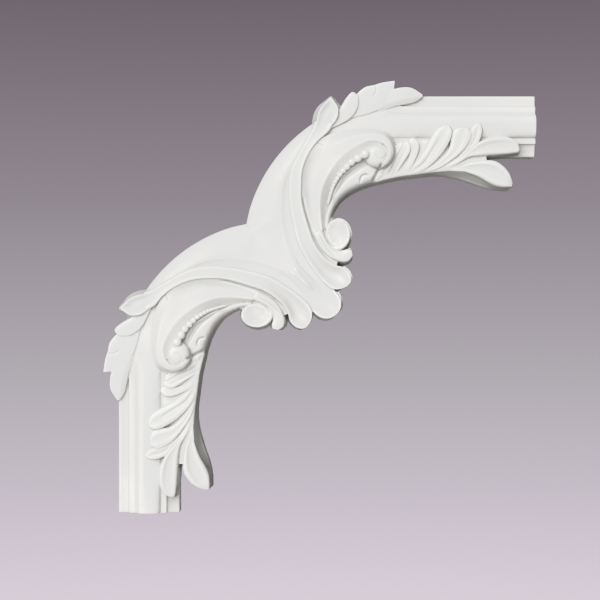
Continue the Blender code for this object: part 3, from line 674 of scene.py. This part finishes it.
# %% Inner body and leaves
INNER_BODY_HEIGHT, LEAF_HEIGHT = 23.0, 20.8
strip("inner_body", INNER_BODY_HEIGHT, CROWNED, [
    (34.8, 26, 36.4, 25.5, -3, -3.5),
    (36.3, 37.5, 39.2, 36, -1.8, -2.5, 0.2),
    (41, 49.6, 46, 47.5, -0.8, -2.4, 0.4),
    (46.4, 57.7, 54, 54.2, -0.2, -2.4, 0.6),
    (52.2, 65.2, 62.5, 58.8, 0, -2.4, 0.8),
    (60, 71.2, 71, 62, 0, -2.4, 0.8),
    (67.8, 76, 78, 64.2, -0.5, -2.6, 0.6),
    (76, 78, 85, 65.8, -2.5, -4, 0.2),
], stations=90, edge=(0.5, 6.5))
strip("leaf_first", LEAF_HEIGHT, FOLDED, [
    (77.2, 68.8, 84, 68, -2.6, -2.4, 0.2),
    (81.1, 75.7, 88.4, 74.9, -1.8, -0.6, 0.4, 0.3),
    (86.8, 84.7, 92.5, 83.9, -2, -0.6, 0.5, 0.4),
    (91.7, 92.0, 96.5, 91.2, -2.0, -0.8, 0.4, 0.3),
    (94.9, 95.7, 99.0, 96.1, -2.4, -1.8, 0.2, 0.1),
], edge=0.6)
strip("leaf_second_far", LEAF_HEIGHT, CROWNED, [
    (93.5, 69, 99.5, 70, -2.6, -2.4, 0.2),
    (97.3, 73.2, 104.6, 74.8, -2, -1.2, 0.3),
    (102.2, 80.5, 108.7, 83.0, -1.6, -0.4, 0.4),
    (103.8, 87.9, 111.1, 90.3, -1.6, -0.4, 0.4),
    (103.0, 94.4, 110.7, 96.0, -1.8, -0.8, 0.3),
    (104.6, 99.3, 107.5, 99.7, -2.6, -2.2, 0.1),
], edge=0.6)
strip("leaf_second", LEAF_HEIGHT, FOLDED, [
    (85, 68.5, 91.5, 69, -2.6, -2.4, 0.2),
    (87.5, 74.8, 95.7, 74.8, -2.2, -0.8, 0.4, 0.3),
    (91.6, 83.8, 101.0, 83.0, -2.4, 0.0, 0.6, 0.5),
    (95.7, 91.1, 104.2, 88.7, -2.6, 0.2, 0.6, 0.4),
    (98.9, 96.0, 104.0, 93.2, -2.8, -0.2, 0.4, 0.2),
    (101.4, 97.6, 103.0, 96.0, -3, -1.8, 0.1),
], edge=0.6)
strip("leaf_fifth", LEAF_HEIGHT, FOLDED, [
    (119.5, 72.6, 126, 73.4, -2.4, -2.2, 0.2),
    (136.3, 78.8, 141.2, 78.8, -1.4, -0.8, 0.3, 0.2),
    (146.0, 86.9, 151.7, 86.9, -1.8, -0.6, 0.4, 0.3),
    (150.9, 95.1, 157.8, 93.0, -1.8, -0.4, 0.5, 0.4),
    (153.0, 104.0, 161.1, 98.7, -1.6, -0.2, 0.6, 0.5),
    (155.8, 109.6, 162.8, 105.7, -1.5, -0.4, 0.5, 0.3),
    (159.1, 112.3, 161.5, 111.3, -1.8, -1.4, 0.1),
], edge=0.6)
strip("leaf_fourth", LEAF_HEIGHT, FOLDED, [
    (107, 70.6, 113.5, 71.4, -2.5, -2.2, 0.2),
    (120.0, 75.5, 127.3, 74.8, -1.6, -0.8, 0.4, 0.3),
    (130.6, 83.7, 139.5, 82.5, -1.8, -0.4, 0.6, 0.5),
    (136.3, 91.8, 147.7, 89.8, -1.8, 0.2, 0.7, 0.5),
    (137.9, 100.0, 152.1, 96.7, -1.6, 0.2, 0.7, 0.5),
    (140.3, 106.1, 153.8, 102.4, -1.5, 0.1, 0.6, 0.4),
    (145.2, 108.4, 151.7, 107.4, -1.6, -0.8, 0.2),
], edge=0.7)
strip("leaf_third", LEAF_HEIGHT, FOLDED, [
    (98.5, 69.6, 105, 70.8, -2.5, -2.3, 0.2),
    (106.2, 76.4, 115.9, 73.6, -1.6, -0.8, 0.4, 0.3),
    (114.3, 86.9, 126.5, 82.5, -2, 0.2, 0.7, 0.6),
    (120.8, 98.3, 133.4, 91.8, -1.8, 0.5, 0.8, 0.6),
    (124.9, 105.2, 137.1, 99.5, -1.6, 0.5, 0.7, 0.5),
    (129.0, 108.7, 138.1, 104.8, -1.5, 0.2, 0.5, 0.2),
    (133.0, 110.0, 136.3, 109.2, -1.6, -0.8, 0.1),
], edge=0.7)
print("first leaves laid")

# %% [markdown]
# The spray ends in two long leaves with smooth backs: one lies on the moulding and turns up towards its
# tip, the other swings out past the moulding's inner edge. A skirt closes its underside down to the wall,
# and a narrow slot with a floor parts the two.

# %% Last two leaves
SLOT_FLOOR_HEIGHT = 18.4
strip("leaf_sixth", LEAF_HEIGHT, SPOON, [
    (125.5, 73, 132.5, 73.4, -2.2, -2.2, 0.2),
    (140.0, 79.8, 142.0, 77.8, -0.6, -1.0, 0.3),
    (149.9, 87.0, 151.1, 83.4, 0.5, 0.0, 0.8, 0.3),
    (160.7, 95.9, 159.3, 84.9, 1.5, 0.5, 1.2, 0.9),
    (168.8, 99.5, 168.8, 85.5, 1.5, 0.8, 1.4, 1.2),
    (177.8, 100.8, 178.6, 85.9, 1.2, 0.8, 1.4, 1.2),
    (185.1, 99.5, 186.7, 86.6, 0.8, 0.5, 1.3, 0.8),
    (190.8, 96.3, 192.4, 87.6, 0, 0, 1.0, 0.2),
    (193.7, 91.8, 194.1, 89.4, -1.5, -1.5, 0.3),
], stations=90, edge=1.0)
strip("leaf_last", LEAF_HEIGHT, SPOON, [
    (131.0, 73.6, 131.2, 72.8, -2.5, -2.8),
    (142.7, 75.4, 143.9, 72.7, -1, -1.5, 0.6, 0.2),
    (152.7, 79.3, 152.7, 70.3, 0, -1.0, 1.2, 0.8),
    (163.9, 81.0, 160.8, 67.1, 0.5, -0.5, 1.7, 1.5),
    (173.0, 80.5, 168.2, 62.9, 1, 0, 1.9, 1.8),
    (180.4, 76.0, 174.7, 60.0, 1, 0, 1.9, 1.4),
    (185.3, 69.9, 181.2, 59.1, 0.5, 0, 1.6, 0.6),
    (187.7, 63.4, 186.9, 59.3, -1, -1, 0.6),
], stations=90, edge=1.1)
strip("leaf_last_skirt", LEAF_HEIGHT, SLOPED, [
    (120.5, 72.6, 121, 70.9, -3.6, -5),
    (130, 73, 131, 70.3, -2.6, -8),
    (137.4, 73, 138.4, 69.0, -1.8, -11),
    (144.5, 72.6, 145.6, 67.1, -0.6, -13),
    (152.7, 71.8, 153.8, 64.6, -0.2, -14),
    (161.2, 68.2, 162, 61.7, 0, -14),
    (169.4, 63.7, 170.2, 59.3, 0, -14),
    (177.2, 60.6, 178.4, 58, 0, -14),
    (185, 60.2, 186.7, 58, 0, -14),
], edge=(0.1, 2.4))
strip("slot_floor", SLOT_FLOOR_HEIGHT, CROWNED, [
    (141, 79.5, 141, 75, 0, 0),
    (150, 84.5, 150, 78, 0, 0),
    (158, 86, 158, 79.5, 0, 0),
    (166.6, 86.5, 166.6, 79.5, 0, 0),
], stations=30, edge=0.5)
print("last leaves laid")

# %% [markdown]
# The teardrop is a spoon-shaped leaf with a raised rim. Its sides slope more than the rest, so they show
# as a grey band all round it. The outer leaf beside it is flat and lies over the moulding's outer edge.
# Its three parts lap each other, and the last one has a rolled lip along its outer side.

# %% Teardrop and outer leaf
TEARDROP_HEIGHT, OUTER_LEAF_HEIGHT = 22.0, 18.0
TEARDROP_SLOPE = math.tan(math.radians(11.0))
RIM_POINTS = 90
drop = [(27.4, 108, 0), (28.4, 116.5, 0.8), (31.2, 123.8, 1), (35.4, 128.6, 1), (39.4, 132.2, 1),
        (42.8, 128.4, 1), (45.4, 123, 1), (44.6, 116, 0.9), (40.2, 109.4, 0.4), (34, 104, 0)]
rim = smooth_rows(drop + [drop[0]], RIM_POINTS + 1)[:-1]
dish("teardrop", TEARDROP_HEIGHT, (36.6, 118), rim, [
    (1.0, -3.4, -0.2), (0.95, -3.3, 0.0), (0.88, -3.2, -0.2), (0.75, -3.0, -0.8), (0.55, -2.7, -1.6),
    (0.3, -2.2, -1.9), (0.05, -1.6, -1.6)], slope=TEARDROP_SLOPE, edge=0.6)
strip("outer_leaf_first", OUTER_LEAF_HEIGHT, CROWNED, [
    (37, 113, 40.5, 108, 0.2, 0.2),
    (44, 118.5, 54, 115, 0.5, 0.5, 0.4),
    (48.5, 126, 61, 123.5, 0.5, 0.6, 0.5),
    (53.5, 134.2, 61.8, 133, 0, 0.2, 0.4),
    (56.8, 137.6, 59, 137, -1.2, -1.0, 0.1),
], edge=0.5)
strip("outer_leaf_body", OUTER_LEAF_HEIGHT, CROWNED, [
    (54, 118, 52, 113.5, -1.2, -1.2),
    (58.5, 132.4, 58, 116.6, -1.2, -1.2, 0.4),
    (66.5, 140.8, 70, 119.6, -1, -1.2, 0.6),
    (75, 143.2, 81, 124, -1.2, -1.6, 0.6),
    (81.5, 145.2, 86.5, 128, -1.8, -2.2, 0.5),
    (92, 147, 91.2, 139.5, -2.8, -2.8, 0.3),
], edge=(0.6, 0.8))
strip("outer_leaf_end", OUTER_LEAF_HEIGHT, LIPPED, [
    (74, 132, 79, 121.5, -1.6, -2.4, 0.2),
    (89.4, 139, 91, 125.7, -2.0, -3.6, 0.3),
    (97, 141.3, 100, 127.9, -2.6, -4.6, 0.3),
    (106, 141.1, 108.5, 130, -3.8, -5.6, 0.2),
    (115, 136, 115, 133.8, -5.6, -6.2, 0.1),
], edge=(0.6, 0.4))

# %% [markdown]
# Now the half is cast. All the forms go into one mesh, a cut along the diagonal trims them, and a
# mirrored copy makes the other half. The cut lies a little past the diagonal, so that the halves lap. A
# Boolean of so many thin overlaps often fails. The voxel remesh fuses every overlap into a single closed
# skin, much as a mould taken from the carving would.

# %% Cast the two halves
VOXEL = 0.4
CUT_OVERLAP = 0.15
work = bmesh.new()
for form in carving.objects:
    work.from_mesh(form.data)
diagonal = Vector((1, 0, 1)).normalized()
bmesh.ops.bisect_plane(work, geom=work.verts[:] + work.edges[:] + work.faces[:], dist=1e-8,
                       plane_co=-diagonal * CUT_OVERLAP * MM, plane_no=diagonal, clear_inner=True)
open_edges = [edge for edge in work.edges if edge.is_boundary]
bmesh.ops.holes_fill(work, edges=open_edges, sides=0)
bmesh.ops.triangulate(work, faces=work.faces)
twin = bmesh.ops.duplicate(work, geom=work.verts[:] + work.edges[:] + work.faces[:])["geom"]
for item in twin:
    if isinstance(item, bmesh.types.BMVert):
        item.co = Vector((-item.co.z, item.co.y, -item.co.x))
bmesh.ops.recalc_face_normals(work, faces=work.faces)
blank = bpy.data.meshes.new("blank")
work.to_mesh(blank)
work.free()
print("blank", len(blank.polygons), "faces, filled", len(open_edges), "cut edges")

corner = bpy.data.objects.new("corner", blank)
scene.collection.objects.link(corner)
remesh = corner.modifiers.new("fuse", "REMESH")
remesh.mode = "VOXEL"
remesh.voxel_size = VOXEL * MM
cast = bpy.data.meshes.new_from_object(corner.evaluated_get(bpy.context.evaluated_depsgraph_get()))
print("cast", len(cast.polygons), "faces at", VOXEL, "mm")

# %% [markdown]
# The fine lines come last, as on a real carving: leaf folds, the lines beside the hook, the eyelet at the
# end of the inner body and the thin ridge along the beads. A stroke is a soft groove along a curve that
# fades at both ends, and a stroke with a negative depth raises a ridge. Each line below is a name, a
# width, a depth and the places that the curve runs through, in millimetres.

# %% Chisel strokes
STROKES = [
    ("fold of the third leaf", 0.8, 0.8, [(129.0, 100.8), (121.6, 89.4), (115.1, 79.6), (105.4, 72.3)]),
    ("fold of the fifth leaf", 0.6, 0.6, [(158.2, 107.3), (156.6, 98.3), (150.9, 91.8)]),
    ("fold of the second leaf", 0.6, 0.6, [(98.9, 87.9), (94.0, 77.3), (89.1, 67.5)]),
    ("slot before the leaves", 1.3, 3.5, [(81.0, 78.0), (77.0, 70.8), (73.3, 63.0)]),
    ("eyelet", 0.95, 1.7, [(63.0, 62.4), (63.9, 67.2), (67.1, 69.4), (71.0, 69.2)]),
    ("ridge by the beads", 0.85, -1.3,
     [(40.1, 46.0), (41.4, 51.7), (43.9, 58.1), (47.5, 64.6), (52.7, 71.8), (59.1, 75.8), (65.5, 79.1)]),
    ("tick at the head of the scroll", 0.5, 0.8, [(28.0, 95.9), (33.7, 93.0)]),
    ("crease of the outer leaf", 0.6, 0.6, [(75.9, 144.0), (76.3, 138.0), (73.0, 133.1)]),
    ("crest", 1.0, -1.3, [(9.6, -6.5), (14.6, -13.6), (20.7, -20.5), (24.0, -24.6)]),
    ("line past the crest", 0.6, 0.35, [(24.2, -23.1), (33.1, -32.9)]),
    ("groove along the frond", 0.9, 1.5,
     [(16.6, 52.0), (17.5, 44.5), (21.6, 30.0), (27.3, 13.8), (36.0, 1.4), (43.8, -4.4)]),
    ("first line by the hook", 0.6, 0.8, [(27.2, 19.2), (32.9, 10.3), (40.2, 2.6), (47.5, -2.3)]),
    ("second line by the hook", 0.6, 1.2, [(29.6, 20.4), (36.1, 9.5), (43.4, 1.4)]),
    ("crevice round the lobe", 0.8, 1.4, [(34.9, 28.0), (35.8, 21.0), (37.9, 14.4), (43.1, 10.2)]),
    ("curl in the eye", 0.7, 0.45, [(85.4, 88.7), (83.8, 84.3), (79.8, 81.8), (76.1, 83.9), (75.7, 87.5)]),
    ("line in the valley", 1.0, 0.5, [(10.9, 1.5), (14.2, -4.2), (20.7, -11.1), (28.9, -18.9)]),
]
print(len(STROKES), "strokes, the longest list of places has", max(len(path) for *_, path in STROKES))

# %% [markdown]
# The skin's points are read into arrays, because a loop over half a million points would be slow. The
# work is done in plan, folded over the diagonal, so each stroke cuts both arms. Only the carved face is
# touched: FACE_DEPTH keeps the strokes off the back. The remesh leaves tiny stairs on slopes. Before and
# after the strokes, each point is moved part of the way to the middle of its neighbours, which melts them
# into the soft surface of primed foam. The beads are eased less, so that they stay round.

# %% Ease the skin and cut the strokes
FACE_DEPTH = 4.0
BACK_LAYER = 0.05
STROKE_POINTS = 90
FADE_SPEED, FADE_POWER = 5, 0.7
EASE, BEAD_EASE = 0.5, 0.06
ROUNDS_BEFORE, ROUNDS_AFTER = 3, 1

points = np.empty(len(cast.vertices) * 3)
cast.vertices.foreach_get("co", points)
points = points.reshape(-1, 3) / MM
edges = np.empty(len(cast.edges) * 2, dtype=np.int64)
cast.edges.foreach_get("vertices", edges)
edges = edges.reshape(-1, 2)


def folded_plan(places):
    """The points' plan places, with the second half folded onto the first over the diagonal."""
    plan = places[:, [0, 2]]
    other = plan.sum(axis=1) < 0
    plan[other] = -plan[other][:, ::-1]
    return plan


def gaps_to(line, places, margin):
    """The points of the carved face near a line in plan, and their distances to its places."""
    plan = folded_plan(places)
    low, high = line.min(axis=0) - margin, line.max(axis=0) + margin
    near = np.flatnonzero(np.all((plan > low) & (plan < high), axis=1) & (places[:, 1] < -FACE_DEPTH))
    return near, np.hypot(*(plan[near][:, None] - line[None]).transpose(2, 0, 1))


def relax(places, rounds, share):
    """Move each point a share of the way to the middle of its neighbours; the flat back stays flat."""
    count = np.bincount(edges.ravel(), minlength=len(places))
    back = places[:, 1] > -BACK_LAYER
    for _ in range(rounds):
        middle = np.empty_like(places)
        for k in range(3):
            sums = np.bincount(edges[:, 0], weights=places[edges[:, 1], k], minlength=len(places))
            sums += np.bincount(edges[:, 1], weights=places[edges[:, 0], k], minlength=len(places))
            middle[:, k] = sums / count
        places = places + (middle - places) * share
        places[back, 1] = 0.0
    return places


def chisel(places, width, depth, path):
    """Press a soft groove of a width and depth along a smooth path, in plan; both ends fade out."""
    line = smooth_rows(path, STROKE_POINTS)
    near, gaps = gaps_to(line, places, 3 * width)
    along = gaps.argmin(axis=1) / (len(line) - 1)
    fade = np.clip(np.minimum(along, 1 - along) * FADE_SPEED, 0, 1) ** FADE_POWER
    places[near, 1] += depth * fade * np.exp(-(gaps.min(axis=1) / width) ** 2)


ease = np.full((len(points), 1), EASE)
near, gaps = gaps_to(smooth_rows(BEAD_LINE, LINE_POINTS)[:, :2], points, FIRST_BEAD)
ease[near[gaps.min(axis=1) < FIRST_BEAD]] = BEAD_EASE
points = relax(points, ROUNDS_BEFORE, ease)
for _, *stroke in STROKES:
    chisel(points, *stroke)
points = relax(points, ROUNDS_AFTER, ease)
cast.vertices.foreach_set("co", (points * MM).ravel())
cast.update()
print("eased and cut", len(points), "points")

# %% [markdown]
# The primer's colour is darkened in the creases and hollows as painted shade, and lightened on the edges
# as a painted highlight. For that, each point keeps how far it stands out of the smoothed surface around
# it: more than zero on a ridge, less in a crease. A light smoothing finds the fine creases and a strong
# one the broad hollows. The value is an attribute, so it stays with the piece.

# %% Mark creases and edges
FINE_ROUNDS, BROAD_ROUNDS, BROAD_EASE, BROAD_SHARE = 8, 60, 0.8, 0.14
outward = np.empty(len(cast.vertices) * 3)
cast.vertices.foreach_get("normal", outward)
outward = outward.reshape(-1, 3)
fine_stand = ((points - relax(points, FINE_ROUNDS, EASE)) * outward).sum(axis=1)
broad_stand = ((points - relax(points, BROAD_ROUNDS, BROAD_EASE)) * outward).sum(axis=1)
stand = fine_stand + BROAD_SHARE * broad_stand
stand[points[:, 1] > -FACE_DEPTH] = 0.0
cast.attributes.new("relief", "FLOAT", "POINT").data.foreach_set("value", stand)
usual = [round(float(value), 3) for value in np.percentile(stand, (2.5, 97.5))]
print("stands out by", round(float(stand.min()), 2), "to", round(float(stand.max()), 2), "mm, mostly", usual)

# %% [markdown]
# The fused skin has far more faces than it needs on its flats. A decimation keeps the small triangles
# where the surface bends and spends few on the back and the moulding's flats.

# %% Thin the skin
FACE_BUDGET = 190000


def triangles_in(mesh):
    """How many triangles the faces of a mesh make."""
    return sum(len(face.vertices) - 2 for face in mesh.polygons)


cast_triangles = triangles_in(cast)
corner.modifiers.remove(remesh)
corner.data = cast
thin = corner.modifiers.new("thin", "DECIMATE")
thin.ratio = min(1.0, FACE_BUDGET / cast_triangles)
skin_mesh = bpy.data.meshes.new_from_object(corner.evaluated_get(bpy.context.evaluated_depsgraph_get()))
corner.modifiers.remove(thin)
corner.data = skin_mesh
print("thinned from", cast_triangles, "to", triangles_in(skin_mesh), "triangles")

# %% [markdown]
# The remesh can seal in a few specks of a handful of points, where a bead meets the slope beside it. They
# can't be seen, but the casting is one solid, so its mesh is one skin. The points are sorted into linked
# groups by walking along the edges, and the small groups go.

# %% Take out sealed-in specks
SMALLEST_SKIN = 1000


def linked_groups(mesh_points):
    """The points of a bmesh in groups that its edges link."""
    groups, seen = [], set()
    for start in mesh_points:
        if start in seen:
            continue
        seen.add(start)
        group, front = [], [start]
        while front:
            place = front.pop()
            group.append(place)
            beside = {edge.other_vert(place) for edge in place.link_edges} - seen
            seen |= beside
            front += beside
        groups.append(group)
    return groups


work = bmesh.new()
work.from_mesh(skin_mesh)
specks = [place for group in linked_groups(work.verts) if len(group) < SMALLEST_SKIN for place in group]
speck_points = len(specks)
bmesh.ops.delete(work, geom=specks, context="VERTS")
work.to_mesh(skin_mesh)
work.free()
print("took out", speck_points, "points of sealed-in specks")

# %% [markdown]
# The forms and guides have done their work and go, so that only the finished corner is left. Smooth
# shading suits the soft primed surface, and edges over fifty degrees stay sharp, such as those of the
# cut ends.

# %% Clear up and shade
SHARP_FROM = math.radians(50)
for helper in list(carving.objects) + [profile_object, bead_path]:
    bpy.data.objects.remove(helper)
bpy.data.collections.remove(carving)
skin_mesh.materials.clear()
skin_mesh.materials.append(primer)
skin_mesh.shade_smooth()
skin_mesh.set_sharp_from_angle(angle=SHARP_FROM)
print("corner", triangles_in(skin_mesh), "triangles")

# %% [markdown]
# The finish is a thin white primer, matt but not dead. On the real piece it is a little uneven: its white
# varies from patch to patch, the foam's grain shows faintly, and the sheen changes where it was brushed.
# Three noises on Object coordinates give that at the right scale, and the relief attribute paints shade
# into the creases and hollows and a highlight onto the edges. Pictures would do it too, but noises have
# no seams and stay sharp from close by. A noise has a scale, a detail and a roughness, and a bump has a
# strength and a depth in millimetres.

# %% White primer
# These map the relief to a colour factor: under 1 is painted shade in creases and hollows, over 1 a painted
# highlight on edges.
PAINTED_SHADE_AND_HIGHLIGHT = {"From Min": -0.24, "From Max": 0.12, "To Min": 0.69, "To Max": 1.08}
PATCHES, GRAIN, BRUSHED = (28.0, 3.0, 0.5), (1400.0, 2.0, 0.5), (240.0, 3.0, 0.6)
GRAIN_BUMP, BRUSH_BUMP = (0.12, 0.1), (0.25, 0.15)
FILM = [(0.35, (0.80, 0.793, 0.762)), (0.65, (0.84, 0.834, 0.805))]
SHEEN = [(0.3, (0.50, 0.50, 0.50)), (0.7, (0.60, 0.60, 0.60))]
SPECULAR = 0.4

primer.use_nodes = True
nodes, links = primer.node_tree.nodes, primer.node_tree.links
shader = nodes["Principled BSDF"]
coordinates = nodes.new("ShaderNodeTexCoord")


def noise(scale, detail, roughness):
    """A noise on the piece's own coordinates."""
    node = nodes.new("ShaderNodeTexNoise")
    node.inputs["Scale"].default_value = scale
    node.inputs["Detail"].default_value = detail
    node.inputs["Roughness"].default_value = roughness
    links.new(coordinates.outputs["Object"], node.inputs["Vector"])
    return node.outputs["Fac"]


def ramp(value, stops):
    """Colours along a value, from stops of (place, colour)."""
    node = nodes.new("ShaderNodeValToRGB")
    elements = node.color_ramp.elements
    while len(elements) < len(stops):
        elements.new(1.0)
    for element, (place, colour) in zip(elements, stops):
        element.position = place
        element.color = (*colour, 1.0)
    links.new(value, node.inputs["Fac"])
    return node.outputs["Color"]


def bump(height, strength, distance):
    """A bump node over a height, with a strength and a depth in millimetres."""
    node = nodes.new("ShaderNodeBump")
    node.inputs["Strength"].default_value = strength
    node.inputs["Distance"].default_value = distance * MM
    links.new(height, node.inputs["Height"])
    return node


patches, grain, brushed = noise(*PATCHES), noise(*GRAIN), noise(*BRUSHED)
relief = nodes.new("ShaderNodeAttribute")
relief.attribute_name = "relief"
# The primer's colour is scaled by the relief: painted shade in the creases and hollows, a painted highlight
# on the edges.
painted_shading = nodes.new("ShaderNodeMapRange")
for label, value in PAINTED_SHADE_AND_HIGHLIGHT.items():
    painted_shading.inputs[label].default_value = value
links.new(relief.outputs["Fac"], painted_shading.inputs["Value"])
shaded_film = nodes.new("ShaderNodeVectorMath")
shaded_film.operation = "SCALE"
links.new(ramp(patches, FILM), shaded_film.inputs[0])
links.new(painted_shading.outputs["Result"], shaded_film.inputs["Scale"])
links.new(shaded_film.outputs["Vector"], shader.inputs["Base Color"])
links.new(ramp(brushed, SHEEN), shader.inputs["Roughness"])
shader.inputs["Specular IOR Level"].default_value = SPECULAR
fine, soft = bump(grain, *GRAIN_BUMP), bump(brushed, *BRUSH_BUMP)
links.new(fine.outputs["Normal"], soft.inputs["Normal"])
links.new(soft.outputs["Normal"], shader.inputs["Normal"])
print("primer", len(nodes), "nodes")

# %% [markdown]
# The studio is plain. A small pale floor lies well under the corner. A key light as wide as a window, from
# the upper left, models the relief, and a weak light from behind catches the outer edges that it leaves
# dark. Suns are used because their light is the same all over the piece.

# %% Floor and lamps
FLOOR_HEIGHT, FLOOR_SIDE, FLOOR_FRONT, FLOOR_BACK = -0.42, 0.7, -0.55, 0.25
FLOOR_COLOUR, FLOOR_ROUGHNESS = (0.72, 0.70, 0.70, 1), 0.8
LAMPS = {"key": ((-0.4, -1.0, 0.4), 60, 3.5), "back_fill": ((0.1, 1.0, 0.1), 10, 1.2)}

floor_mesh = bpy.data.meshes.new("floor")
floor_mesh.from_pydata(
    [(-FLOOR_SIDE, FLOOR_FRONT, FLOOR_HEIGHT), (FLOOR_SIDE, FLOOR_FRONT, FLOOR_HEIGHT),
     (FLOOR_SIDE, FLOOR_BACK, FLOOR_HEIGHT), (-FLOOR_SIDE, FLOOR_BACK, FLOOR_HEIGHT)], [], [(0, 1, 2, 3)])
floor = bpy.data.objects.new("floor", floor_mesh)
scene.collection.objects.link(floor)
pale = bpy.data.materials.new("pale_floor")
pale.use_nodes = True
pale.node_tree.nodes["Principled BSDF"].inputs["Base Color"].default_value = FLOOR_COLOUR
pale.node_tree.nodes["Principled BSDF"].inputs["Roughness"].default_value = FLOOR_ROUGHNESS
floor_mesh.materials.append(pale)


def wide_lamp(name, towards, angle, strength):
    """A sun lamp in the direction `towards`, spread over an angle as a large softbox far away is."""
    data = bpy.data.lights.new(name, "SUN")
    data.angle = math.radians(angle)
    data.energy = strength
    lamp = bpy.data.objects.new(name, data)
    lamp.rotation_euler = (-Vector(towards)).to_track_quat("-Z", "Y").to_euler()
    scene.collection.objects.link(lamp)


for lamp_name, (towards, angle, strength) in LAMPS.items():
    wide_lamp(lamp_name, towards, angle, strength)

# %% [markdown]
# The backdrop is a grey that gets lighter towards the floor, so that the white outline reads against it.
# Only the camera sees it. The piece is lit by a dim even dome in its place, which keeps the hollows dark.

# %% Backdrop
DOME = (0.09, 0.09, 0.09, 1)
LOWEST, HIGHEST = -0.22, 0.22
GREYS = [(0.0, (0.66, 0.585, 0.672)), (0.167, (0.54, 0.488, 0.548)), (0.367, (0.414, 0.388, 0.419)),
         (0.667, (0.286, 0.259, 0.286)), (1.0, (0.183, 0.159, 0.183))]

world = bpy.data.worlds.new("studio")
world.use_nodes = True
scene.world = world
nodes, links = world.node_tree.nodes, world.node_tree.links
dome = nodes["Background"]
dome.inputs["Color"].default_value = DOME
backdrop = nodes.new("ShaderNodeBackground")
direction = nodes.new("ShaderNodeTexCoord")
split = nodes.new("ShaderNodeSeparateXYZ")
links.new(direction.outputs["Generated"], split.inputs[0])
height = nodes.new("ShaderNodeMapRange")
height.inputs["From Min"].default_value = LOWEST
height.inputs["From Max"].default_value = HIGHEST
links.new(split.outputs["Z"], height.inputs["Value"])
links.new(ramp(height.outputs["Result"], GREYS), backdrop.inputs["Color"])
path = nodes.new("ShaderNodeLightPath")
choice = nodes.new("ShaderNodeMixShader")
links.new(path.outputs["Is Camera Ray"], choice.inputs["Fac"])
links.new(dome.outputs[0], choice.inputs[1])
links.new(backdrop.outputs[0], choice.inputs[2])
links.new(choice.outputs[0], nodes["World Output"].inputs["Surface"])
print("backdrop of", len(GREYS), "greys")

# %% [markdown]
# A white piece in full light soon burns out to flat white. The curve bends the bright end of the picture
# down, as a camera set for white goods does, so that soft slopes still show.

# %% Tones
TONES = [(0.15, 0.12), (0.3, 0.3), (0.5, 0.54), (0.7, 0.71), (0.85, 0.774), (0.94, 0.796), (1.0, 0.835)]
view = scene.view_settings
view.view_transform = "Standard"
view.use_curve_mapping = True
tone = view.curve_mapping.curves[3]
tone.points[-1].location = TONES[-1]
for place in TONES[:-1]:
    tone.points.new(*place)
view.curve_mapping.update()
print("tone curve through", len(tone.points), "points")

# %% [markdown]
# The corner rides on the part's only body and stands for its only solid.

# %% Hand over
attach(corner, "root")
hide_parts("moulding_corner")
